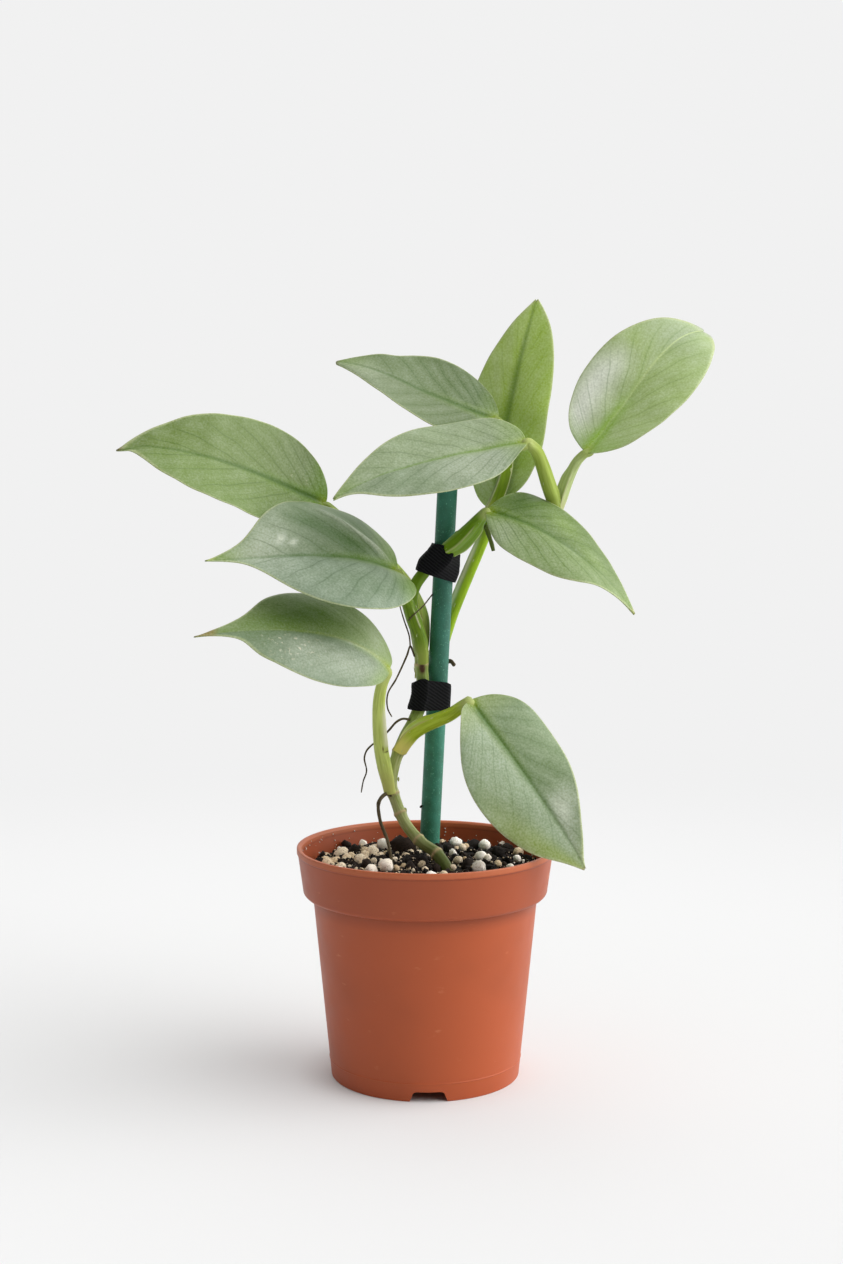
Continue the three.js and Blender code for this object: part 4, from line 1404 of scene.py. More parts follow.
@dataclass
class Tie:
    """Hook-and-loop band round the stake and the stem, one end lapped over the other.

    The lap starts at the angle lap and is lap_length long, in degrees. Gap is the room inside,
    arch the rise of the upper edge in front, and reach the height that the band bridges, mm.
    """

    name: str
    centre: Point
    axis: Point
    lap: float
    width: float = 15.0
    thick: float = 1.1
    overlap: float = 0.9
    gap: float = 0.5
    arch: float = 1.2
    lap_length: float = 110.0
    reach: float = 1.2
    sides: int = 160

    def build(self, stake: Stake, stem: "MainStem") -> Piece:
        """Builds the band.

        At each height its inner loop is the hull of the discs of stake and stem within reach of
        that height: at each angle, the disc that reaches furthest, its centre plus its radius
        along the angle. The outer loop lies one thickness further out, and one overlap more
        along the lap. Its upper edge rises in a bell toward the front.

        Args:
            stake: the stake that it holds.
            stem: the stem that it holds.

        Returns:
            The piece.
        """
        up = unit(np.asarray(self.axis, float))
        right = unit(np.array([1.0, 0, 0]) - up * up[0])
        back = np.cross(up, right)
        share = np.linspace(0, 1, 401)
        centres = np.concatenate([stake.at(share), stem.path.at(share)]) - np.asarray(self.centre)
        radius = np.concatenate([np.full(len(share), stake.radius), stem.radius_at(share)])
        x, y, z = centres @ right, centres @ back, centres @ up
        angle = turns(self.sides)
        half = self.width / 2
        front = self.arch * bell(wrapped(angle - 1.5 * np.pi), 0.9)

        def loop(grow: Array | float, height: float) -> Array:
            """One loop of the band at a height, grown outward.

            Args:
                grow: mm added at each angle.
                height: mm along the axis.

            Returns:
                Points, (sides, 3), mm.
            """
            near = (np.abs(z - height) < self.reach) & (np.abs(z) < half + 0.5)
            far = np.cos(angle)[:, None] * x[near] + np.sin(angle)[:, None] * y[near] + radius[near]
            best = np.argmax(far, 1)
            out = radius[near][best] + grow
            wide, deep = x[near][best], y[near][best]
            flat = np.stack([wide + out * np.cos(angle), deep + out * np.sin(angle)])
            soft = sum(np.roll(flat, k, 1) for k in range(-4, 5)) / 9
            raised = height + front * max(height / half, 0) ** 2
            spot = np.asarray(self.centre) + raised[:, None] * up
            return spot + soft[0][:, None] * right + soft[1][:, None] * back

        past = (np.degrees(angle) - self.lap) % 360
        lapped = smooth(past, 0, 4) * smooth(-past, -self.lap_length, 4 - self.lap_length)
        outer = self.gap + self.thick + self.overlap * lapped
        up_rows = np.linspace(-half, half, 13)
        crown = 0.25 * (np.abs(up_rows) / half) ** 8
        rows = [loop(self.gap, h) for h in up_rows[::-1]]
        rows += [loop(outer - c, h) for c, h in zip(crown, up_rows)]
        rows = np.stack(rows)
        shape = Shape(rows.reshape(-1, 3), [grid_faces(len(rows), self.sides, closed=True)])
        piece = write_mesh(f"{self.name}_band", shape, 50)
        finish = HookAndLoop("hook_and_loop_nylon", rough=0.95, ior=1.53).material()
        return place(piece, finish, "tie", self.name)


# ---------------------------------------------------------------- stem and roots


@dataclass
class MainStem:
    """Climbing stem with its nodes, a stub, buried roots and small buds, brown at its foot."""

    points: Line = (
        (16, -24, 62), (16.5, -22, 80), (14.5, -20, 91), (11.5, -18, 98.5), (5.5, -12, 107),
        (-1, -8, 111), (-5.2, -5, 114.5), (-9.6, -2, 120), (-13.2, 1, 128), (-15.6, 2.5, 136.5),
        (-14.4, 4, 145.5), (-12, 6, 152.5), (-9, 8, 159), (-5.5, 10, 165), (-1, 13, 176.5),
        (-1, 13.5, 184.5), (-1.5, 14, 191), (-2.5, 15, 198.5), (-4, 15, 207), (-5.5, 15, 216),
        (-6.3, 13, 223.5), (-4.5, 11, 229.5), (-0.8, 10, 235), (6, 10, 242.5), (12, 10.8, 248.6),
        (20.5, 12, 254.8), (27.5, 12, 259), (33.5, 12, 261), (42, 13, 263), (51, 13, 264),
        (60, 12.5, 263.5), (65, 12, 262),
    )
    widths: tuple[tuple[float, float], ...] = (
        (62, 3.0), (98, 3.0), (105, 2.8), (112, 2.6), (135, 2.6), (150, 2.7), (160, 2.85),
        (175, 3.0), (190, 2.9), (262, 2.75),
    )
    node_shares: tuple[float, ...] = (0.185, 0.2265, 0.283, 0.319, 0.392, 0.5535, 0.81, 0.955)
    swell: float = 0.3
    spread: float = 0.006
    buried: tuple[Line, ...] = (
        ((16, -24, 66), (6, -30, 58), (-8, -32, 44), (-20, -26, 28)),
        ((16, -24, 68), (26, -20, 58), (32, -6, 44), (30, 10, 26)),
        ((16, -24, 64), (18, -34, 52), (26, -36, 36), (22, -30, 20)),
        ((16, -24, 70), (12, -14, 58), (6, -6, 40), (10, 0, 20)),
    )
    stub: Line = ((28, 10, 257.5), (29.8, 8, 252.4), (31, 7.5, 248.5), (31.7, 7.2, 245.8))
    path: Path = field(init=False)

    def __post_init__(self) -> None:
        """Makes the path."""
        self.path = Path(self.points)

    def radius_at(self, share: Array) -> Array:
        """Radius: measured widths joined by height, a bell of swelling at each node, a round end.

        Args:
            share: shares of the length.

        Returns:
            Radii, mm.
        """
        swell = sum(self.swell * bell(share - at, self.spread) for at in self.node_shares)
        end = np.sqrt(np.maximum(1 - (np.maximum(share - 0.985, 0) / 0.0153) ** 2, 0.02))
        heights, radii = np.array(self.widths).T
        return (np.interp(self.path.at(share)[:, 2], heights, radii) + swell) * end

    def stalk(self) -> Shape:
        """The stem itself: a little out of round between nodes, with a ridge at each node.

        Returns:
            The closed stem.
        """
        share = np.linspace(0, 1, 620)
        angle = turns(32)
        near = np.array([bell(share - at, 0.0022) for at in self.node_shares])
        lip = 0.2 * near.sum(0)
        ridge = 0.05 * np.sin(3 * angle)[None, :] + 0.03 * np.sin(7 * angle + 1)[None, :]
        radii = (self.radius_at(share) + lip)[:, None] * (1 + ridge)
        height = self.path.at(share)[:, 2]
        ring = np.array([bell(share - at, 0.0028) for at in self.node_shares]).sum(0)
        ring = ring * (1 - 0.8 * smooth(height, 188, 215))
        foot = 1 - smooth(height, 102, 119)
        low = 1 - smooth(height, 97, 103)
        spot = 1.7 * bell(height[:, None] - 190, 2.1) * bell(wrapped(angle[None, :]), 0.5)
        lip_line = bell(height[:, None] - 193, 0.5) * (np.cos(angle - 0.6)[None, :] > 0)
        return carried(
            self.path.at(share), radii, (0, -1, 0), foot=foot[:, None],
            head=(0.5 * smooth(height, 150, 158) + 0.5 * smooth(height, 200, 225))[:, None],
            edge=np.clip(ring, 0, 1)[:, None],
            scar=np.clip(spot + lip_line + 0.75 * low[:, None], 0, 1),
        )

    def root(self, points: Line, thick: float, slim: float) -> Shape:
        """A root: round, from thick to slim, knotty by a slow ripple.

        Args:
            points: its path, mm.
            thick: radius at its start, mm.
            slim: radius at its end, mm.

        Returns:
            The closed shape.
        """
        share = np.linspace(0, 1, 14 * len(points))
        centres = Path(points).at(share)
        knots = 1 + 0.08 * ripple(centres, 5, 61)
        radii = ((thick + (slim - thick) * share) * knots)[:, None] * np.ones((1, 14))
        return carried(centres, radii, (0.3, -0.2, 1), foot=1.0)

    def buds(self) -> Shape:
        """Resting buds: small ovals that lie on the stem's front just above a node.

        Returns:
            The closed shapes.
        """
        seeds = ball(7, 10)
        spots = ((-9.3, 0.0, 125.0, 0.9), (-12.5, 1.8, 139.4, 0.6))
        places = np.array([s[:3] for s in spots])
        sizes = np.array([[s[3], s[3] * 0.8, s[3] * 1.7] for s in spots])
        return scattered(seeds, places, sizes, 0.03, 62)

    def build(self) -> Piece:
        """Builds the stem, its roots and buds as one piece.

        Returns:
            The piece.
        """
        shapes = [self.stalk(), self.buds()]
        shapes += [self.root(path, 1.6, 0.7) for path in self.buried]
        shapes.append(self.root(self.stub, 1.1, 0.95))
        piece = write_mesh("stem_grown", joined(shapes))
        finish = Stalk(
            "climbing_stem", 0.5, 1.45, body="#b0b67c", shade="#8f9d50", foot="#5a672c",
            head="#688a0c", edge="#c4b182", speck="#b7b08a",
        )
        return place(piece, finish.material(), "stem", "stem")


@dataclass
class AerialRoot:
    """Root that leaves the stem in the air."""

    name: str
    thick: float
    slim: float
    points: Line
    threads: tuple[Line, ...] = ()

    def strand(self, points: Line, thick: float, slim: float) -> Shape:
        """One strand: round, from thick to slim, with slow knots and a blunt tip.

        Args:
            points: its path, mm.
            thick: radius at its start, mm.
            slim: radius at its end, mm.

        Returns:
            The closed shape.
        """
        share = np.linspace(0, 1, 16 * len(points))
        centres = Path(points).at(share)
        tip = np.sqrt(np.clip(1 - ((share - 0.97) / 0.031).clip(0) ** 2, 0.02, 1))
        knots = 1 + 0.1 * ripple(centres, 4, 71)
        radius = (thick + (slim - thick) * share) * knots * tip
        angle = turns(18)
        radii = radius[:, None] * (1 + 0.06 * np.sin(3 * angle + 1)[None, :])
        return carried(centres, radii, (0.3, -0.2, 1), head=smooth(share, 0.85, 1)[:, None])

    def build(self) -> Piece:
        """Builds the root with its threads.

        Returns:
            The piece.
        """
        strands = [self.strand(self.points, self.thick, self.slim)]
        strands += [self.strand(points, 0.36, 0.28) for points in self.threads]
        finish = Stalk(
            "aerial_root_bark", 0.75, 1.45, body="#5d5138", shade="#3f3727", foot="#5d5138",
            head="#5a4a32", edge="#5d5138", speck="#7f7257", streak_mm=0.6, speck_mm=0.9,
        )
        piece = write_mesh(f"{self.name}_grown", joined(strands))
        return place(piece, finish.material(), "aerial_root", self.name)


# ---------------------------------------------------------------- leaves


@dataclass(frozen=True)
class Half:
    """One half of a blade: half width, share of the length where it is widest, share that its
    lobe reaches back, how fast it narrows, and widths added at even steps of the outline from
    sinus to tip, mm."""

    wide: float
    at: float
    lobe: float
    narrow: float
    trim: tuple[float, ...] = (0.0, 0.0)


@dataclass(frozen=True)
class Patch:
    """A broad patch on a blade: its middle as shares along and across, its half sizes, how much
    painted sheen (above 0) or painted shade (below 0) it carries, how strewn with pale flecks, and
    how fresh green."""

    along: float
    across: float
    long: float
    wide: float
    tone: float
    flecks: float = 0.0
    fresh: float = 0.0


@dataclass(frozen=True)
class Crease:
    """A low ridge or dent on a blade, straight from one place of the flat leaf to another: its
    half width and height in mm, and its tone, a painted highlight above 0 and painted shade below
    0."""

    start: tuple[float, float]
    end: tuple[float, float]
    wide: float
    rise: float
    tone: float = 0.0

    def weight(self, x: Array, y: Array) -> Array:
        """Bell of the distance to the line between the two places, fading toward its ends.

        Args:
            x: mm along the flat leaf.
            y: mm across it.

        Returns:
            Weights, from 0 to 1.
        """
        a, b = np.array(self.start), np.array(self.end)
        line = b - a
        share = ((x - a[0]) * line[0] + (y - a[1]) * line[1]) / (line @ line)
        held = np.clip(share, 0, 1)
        away = np.hypot(x - a[0] - held * line[0], y - a[1] - held * line[1])
        return bell(away, self.wide) * smooth(share, -0.1, 0.25) * smooth(-share, -1.1, -0.75)


@dataclass(frozen=True)
class Blade:
    """Leaf blade: it leaves its petiole at base, along azimuth and rise, turned by roll.

    Its tip is drawn out by a share of the length, and shoulder tells how full its lobes are.
    Droop, curl and bow bend the midrib, twist turns the blade along it, fold and cup raise and
    lower its halves, and hook shifts its tip along and across, mm.
    """

    name: str
    base: Point
    azimuth: float
    rise: float
    roll: float
    length: float
    tip: float
    shoulder: float
    a: Half
    b: Half
    droop: float
    curl: float
    bow: float
    twist: float
    fold: float
    cup: float
    skin: LeafSkin
    patches: tuple[Patch, ...] = ()
    creases: tuple[Crease, ...] = ()
    hook: tuple[float, float] = (0.0, 0.0)
    start: float = 0.06
    end: float = 0.993
    thick: float = 0.7
    quilt: float = 0.07
    rows: int = 120
    columns: int = 81

    def outline(self, half: Half, q: Array) -> tuple[Array, Array]:
        """Outline of one half in the leaf's plane, by the share q from sinus to tip.

        Up to q = 0.5 it is an ellipse round the base lobe, x = at + (at + lobe) cos(pi(1-q))
        with the sinus drawn in, y = wide sin^shoulder. From there to the tip x rises as a
        sine with a drawn-out tip, and y falls as a power of the cosine.

        Args:
            half: the half.
            q: shares from sinus to tip.

        Returns:
            x and y, mm.
        """
        widest, lobe, tip = half.at * self.length, half.lobe * self.length, self.tip * self.length
        turn = np.pi * (1 - np.minimum(q, 0.5))
        sinus = lobe * bell(np.pi - turn, 0.35)
        x_low = widest + (widest + lobe) * np.cos(turn) + sinus
        y_low = half.wide * np.abs(np.sin(turn)) ** self.shoulder
        b = np.clip(2 * q - 1, 0, 1)
        x_high = widest + (self.length - tip - widest) * np.sin(np.pi / 2 * b) + tip * b**6
        y_high = half.wide * np.maximum(np.cos(np.pi / 2 * b), 0) ** half.narrow
        trim = eased(half.trim, q) * smooth(-q, -1.0, -0.96)
        return np.where(q < 0.5, x_low, x_high), np.where(q < 0.5, y_low, y_high) + trim

    def vein(self, half: Half, x: Array, y: Array) -> Array:
        """Share q of the side vein through a flat point.

        The vein of share q runs from the midrib at length times q^3.6 to the margin at q: at the
        share s of the way out it lies at y = edge.y s and x = root + (edge.x - root) s^1.1. The
        share is found by halving.

        Args:
            half: the half.
            x: mm along the flat leaf.
            y: mm across it.

        Returns:
            The share q.
        """
        low, high = np.zeros_like(x), np.ones_like(x)
        for _ in range(22):
            q = (low + high) / 2
            edge_x, edge_y = self.outline(half, q)
            s = np.clip(np.abs(y) / np.maximum(edge_y, 1e-3), 0, 1)
            root = self.length * q**3.6
            beyond = root + (edge_x - root) * s**1.1 > x
            low, high = np.where(beyond, low, q), np.where(beyond, q, high)
        return (low + high) / 2

    def axes(self) -> tuple[Array, Array, Array]:
        """Directions along the midrib, across it, and out of the upper face, at the base.

        Returns:
            Three unit directions.
        """
        turn, lift, roll = (math.radians(v) for v in (self.azimuth, self.rise, self.roll))
        along = np.array([
            math.cos(lift) * math.cos(turn), math.cos(lift) * math.sin(turn), math.sin(lift)
        ])
        level = np.array([-math.sin(turn), math.cos(turn), 0])
        across = level * math.cos(roll) + np.cross(along, level) * math.sin(roll)
        return along, across, np.cross(along, across)

    def bent(self, x: Array, y: Array) -> Array:
        """A point x along and y across the flat leaf, carried onto the bent one.

        With t = x/length, the midrib droops by t^2 and curls by t^5 out of the face and bows
        by t^2 sideways; the halves turn about it by twist t, fold up by the distance from the
        midrib and cup down by its square.

        Args:
            x: mm along the flat leaf.
            y: mm across it.

        Returns:
            Points, (..., 3), mm.
        """
        along, across, out = self.axes()
        t = np.maximum(x / self.length, 0)[..., None]
        turn = math.radians(self.twist) * t
        here = across * np.cos(turn) + out * np.sin(turn)
        up = out * np.cos(turn) - across * np.sin(turn)
        wide = np.where(y > 0, self.a.wide, self.b.wide)
        lift = self.fold * (np.sqrt(y * y + 2.25) - 1.5) - self.cup * y * y / wide
        fall = out * (-self.length * (self.droop * t**2 + self.curl * t**5))
        side = across * (self.length * self.bow * t**2)
        return (
            np.asarray(self.base) + along * x[..., None] + fall + side
            + here * y[..., None] + up * lift[..., None]
        )

    def normal(self, x: Array, y: Array) -> Array:
        """Direction out of the upper face.

        Args:
            x: mm along the flat leaf.
            y: mm across it.

        Returns:
            Unit directions.
        """
        step = 0.05
        here = self.bent(x, y)
        return unit(np.cross(self.bent(x + step, y) - here, self.bent(x, y + step) - here))

    def build_shape(self) -> Shape:
        """Both faces, the margin between them, and the strips that close base and tip.

        Returns:
            The closed blade.
        """
        q = self.start + (self.end - self.start) * np.linspace(0, 1, self.rows)[:, None]
        w = np.linspace(1, -1, self.columns)[None, :]
        s = np.sign(w) * np.abs(w) ** 1.6
        edges = [self.outline(half, q) for half in (self.a, self.b)]
        edge_x = np.where(s > 0, edges[0][0], edges[1][0])
        edge_y = np.where(s > 0, edges[0][1], edges[1][1])
        root = self.length * q**2.2
        pulled = smooth(q, 0.86, 1.0) ** 2
        x = root + (edge_x - root) * np.abs(s) ** 1.3
        y = edge_y * s
        veins = np.where(s > 0, self.vein(self.a, x, y), self.vein(self.b, x, y))
        far = np.abs(s)
        x = x + self.hook[0] * pulled
        y = y + self.hook[1] * pulled
        point, normal = self.bent(x, y), self.normal(x, y)

        # Relief: the leaf swells between its side veins and its margin waves a little.
        draw = np.random.default_rng(sum(map(ord, self.name)))
        phase = draw.uniform(0, 6.28, 3)
        swell = np.abs(np.sin(np.pi * self.skin.veins * veins))
        quilt = self.quilt * swell * np.sqrt(far * (1 - far) * 4 + 1e-6)
        wave = 0.7 * np.sin(2 * np.pi * 2.6 * q + phase[0] + 1.4 * np.sign(s)) * far**5
        wave = wave + 0.35 * ripple(point, 22, int(phase[1] * 1000))
        lift = (quilt + wave) * np.sin(np.pi * np.clip(q, 0, 1)) ** 0.5
        lift = lift + sum(c.rise * c.weight(x, y) for c in self.creases)
        groove = 0.4 * (1 - 0.8 * q) * bell(y, 0.95)
        rib = (1.15 - 0.95 * q) * bell(y, 1.5)
        half = self.thick / 2 * (1 - 0.35 * far**6)
        upper = point + normal * (lift + half - groove)[..., None]
        lower = point + normal * (lift - half - rib)[..., None]
        middle = (upper + lower) / 2
        rows, columns = self.rows, self.columns
        count = rows * columns
        number = np.arange(count).reshape(rows, columns)
        outward = unit(np.stack([point[:, 0] - point[:, 1], point[:, -1] - point[:, -2]]))
        rim = np.stack([middle[:, 0], middle[:, -1]]) + 0.18 * outward
        face = grid_faces(rows, columns, around=False)
        low = number + count
        left, right = 2 * count + np.arange(rows), 2 * count + rows + np.arange(rows)
        strips = [
            strip_faces(number[::-1, 0], left[::-1]), strip_faces(left[::-1], low[::-1, 0]),
            strip_faces(number[:, -1], right), strip_faces(right, low[:, -1]),
        ]
        ends = [
            strip_faces(number[0], low[0]), strip_faces(number[-1, ::-1], low[-1, ::-1]),
        ]
        corners = np.array([
            [number[0, 0], low[0, 0], left[0]], [number[0, -1], right[0], low[0, -1]],
            [number[-1, 0], left[-1], low[-1, 0]], [number[-1, -1], low[-1, -1], right[-1]],
        ])
        points = np.concatenate([upper.reshape(-1, 3), lower.reshape(-1, 3), rim.reshape(-1, 3)])
        marks = self.marks(veins, s + 0 * q, x, y, point, edge_y + 0 * s)
        both = {}
        for name, grid in marks.items():
            side = np.concatenate([grid[:, 0], grid[:, -1]])
            both[name] = np.concatenate([grid.ravel(), grid.ravel(), side])
        both["under"] = np.concatenate([np.zeros(count), np.ones(count), np.full(2 * rows, 0.4)])
        faces = [face[:, ::-1], face + count, *strips, *ends, corners]
        return Shape(points, faces, both)

    def marks(
        self, q: Array, s: Array, x: Array, y: Array, point: Array, wide: Array
    ) -> dict[str, Array]:
        """Values that the finish reads: halves, veins, midrib, margin, and broad patches of painted
        shade and sheen.

        The spacing of the veins is 1 over the slope of their share q in the flat leaf, where
        the slope comes from the differences of q, x and y along both ways of the grid.

        Args:
            q: the side veins' shares.
            s: shares of the way out to the margin.
            x: mm along the flat leaf.
            y: mm across it.
            point: places on the bent leaf, mm.
            wide: half width of the leaf there, mm.

        Returns:
            The values by name.
        """
        (xi, xj), (yi, yj), (qi, qj) = (np.gradient(v) for v in (x, y, q))
        area = xi * yj - xj * yi
        area = np.where(np.abs(area) < 1e-6, 1e-6, area)
        slope = np.hypot((qi * yj - qj * yi) / area, (xi * qj - xj * qi) / area)
        share = np.clip(x / self.length, 0, 1)
        # tone: painted highlight on ridges and painted shade in dents, then the patches' painted
        # sheen and shade.
        tone = sum((c.tone * c.weight(x, y) for c in self.creases), np.zeros_like(q))
        flecks, fresh = np.zeros_like(q), np.zeros_like(q)
        for patch in self.patches:
            far = ((share - patch.along) / patch.long) ** 2 + ((s - patch.across) / patch.wide) ** 2
            tone = tone + patch.tone * np.exp(-far)
            flecks = flecks + patch.flecks * np.exp(-far)
            fresh = fresh + patch.fresh * np.exp(-far)
        return {
            "half": smooth(s + 0.05 * ripple(point, 9, 81), -0.12, 0.12),
            "vein": q,
            "pitch": np.clip(1 / (np.maximum(slope, 1e-4) * self.skin.veins), 0.5, 30),
            "reach": smooth(np.abs(s), 0.02, 0.15) * smooth(-np.abs(s), -1, -0.7),
            "rib": np.abs(y - self.hook[1] * smooth(share, 0.9, 1.0)),
            "ribwide": 1.15 - 0.9 * share,
            "rim": (1 - np.abs(s)) * wide,
            "share": share,
            "tone": np.clip(tone, -1, 1),
            "flecks": np.clip(flecks, 0, 1),
            "fresh": np.clip(fresh, 0, 1),
            "joint": 0.8 * bell(np.hypot(x / 1.5, y), 2.6),
        }

    def build(self) -> Piece:
        """Builds the blade.

        Returns:
            The piece.
        """
        piece = write_mesh(f"{self.name}_grown", self.build_shape())
        slot = "blade_green" if self.name in ("blade_1", "blade_6") else "blade_silver"
        return place(piece, self.skin.material(), slot, self.name)


@dataclass(frozen=True)
class Petiole:
    """Leaf stalk: channelled, with two low sheath wings, running on under its blade's midrib.

    The wings reach from the share veil_from to the share sheath. Their pale edges lie veil_at
    radians from the facing side and are veil radians wide. Its spots are dry patches: share,
    angle, and half sizes in share and angle.
    """

    name: str
    wide: float
    slim: float
    sheath: float
    facing: Point
    points: Line
    finish: Stalk
    foot: float = 0.85
    run_on: float = 12.0
    veil: float = 0.07
    veil_from: float = -1.0
    veil_at: float = 0.86
    spots: tuple[tuple[float, float, float, float], ...] = ()

    def radius(self, share: Array, angle: Array) -> Array:
        """Radius: from wide to slim by share^2, less a channel, plus wings with thin edges.

        At the very foot it starts from a share of that and swells by the smooth step.

        Args:
            share: shares of the length.
            angle: angles from the facing side.

        Returns:
            Radii by row and angle, mm.
        """
        u = np.clip(share, 0, 1)[:, None]
        body = self.wide + (self.slim - self.wide) * u**2
        body = body * (self.foot + (1 - self.foot) * smooth(u, 0, 0.22))
        turn = np.abs(wrapped(angle))[None, :]
        begun = smooth(u, self.veil_from - 0.04, self.veil_from + 0.04)
        fade = smooth(self.sheath - u, -0.08, 0.12) * begun
        wings = (0.2 * bell(turn - 0.9, 0.3) + 0.16 * bell(turn - 0.82, 0.1)) * fade
        return body * (1 + wings - 0.22 * bell(turn, 0.45))

    def build(self, blade: Blade) -> Piece:
        """Builds the petiole up to its blade and on under the blade's midrib.

        Args:
            blade: the blade that it carries.

        Returns:
            The piece.
        """
        path = Path(self.points)
        rows = max(int(path.length * 2), 60)
        share = np.linspace(0, 1, rows)
        stalk = path.at(share)
        x = np.linspace(0.8, self.run_on, 26)
        sink = 0.75 + 0.8 * self.slim * (1 - x / self.run_on)
        under = blade.bent(x, 0 * x) - blade.normal(x, 0 * x) * sink[:, None]
        centres = np.concatenate([stalk, under])
        for _ in range(6):
            centres[1:-1] = (centres[:-2] + 2 * centres[1:-1] + centres[2:]) / 4
        angle = turns(44)
        radii = self.radius(share, angle)
        end = np.linspace(1, 0.2, len(x))[:, None] * radii[-1].mean()
        radii = np.concatenate([radii, end * np.ones((1, len(angle)))])
        turn = np.abs(wrapped(angle))[None, :]
        full = np.concatenate([share, np.ones(len(x))])[:, None]
        edge = 0.9 * bell(turn - self.veil_at, self.veil) * smooth(self.sheath - full, -0.06, 0.1)
        edge = edge * smooth(full, self.veil_from, self.veil_from + 0.05)
        signed = wrapped(angle)[None, :]
        scar = np.zeros_like(radii)
        for at, way, long, wide in self.spots:
            scar = scar + bell(full - at, long) ** 2 * bell(signed - way, wide) ** 2
        shape = carried(
            centres, radii, self.facing, edge=edge, foot=1 - smooth(full, 0.06, 0.28),
            head=smooth(full, 0.8, 1.0), scar=scar,
        )
        piece = write_mesh(f"{self.name}_grown", shape)
        return place(piece, self.finish.material(), "petiole", self.name)


def skin(name: str, **tones: str | float) -> LeafSkin:
    """Finish of one blade, with the colours that differ from the common ones."""
    return LeafSkin(f"leaf_skin_{name}", 0.4, 1.45, **tones)


def stalk(name: str, **tones: str | float) -> Stalk:
    """Finish of one petiole, with the colours that differ from the common ones."""
    return Stalk(f"petiole_skin_{name}", 0.45, 1.45, **tones)


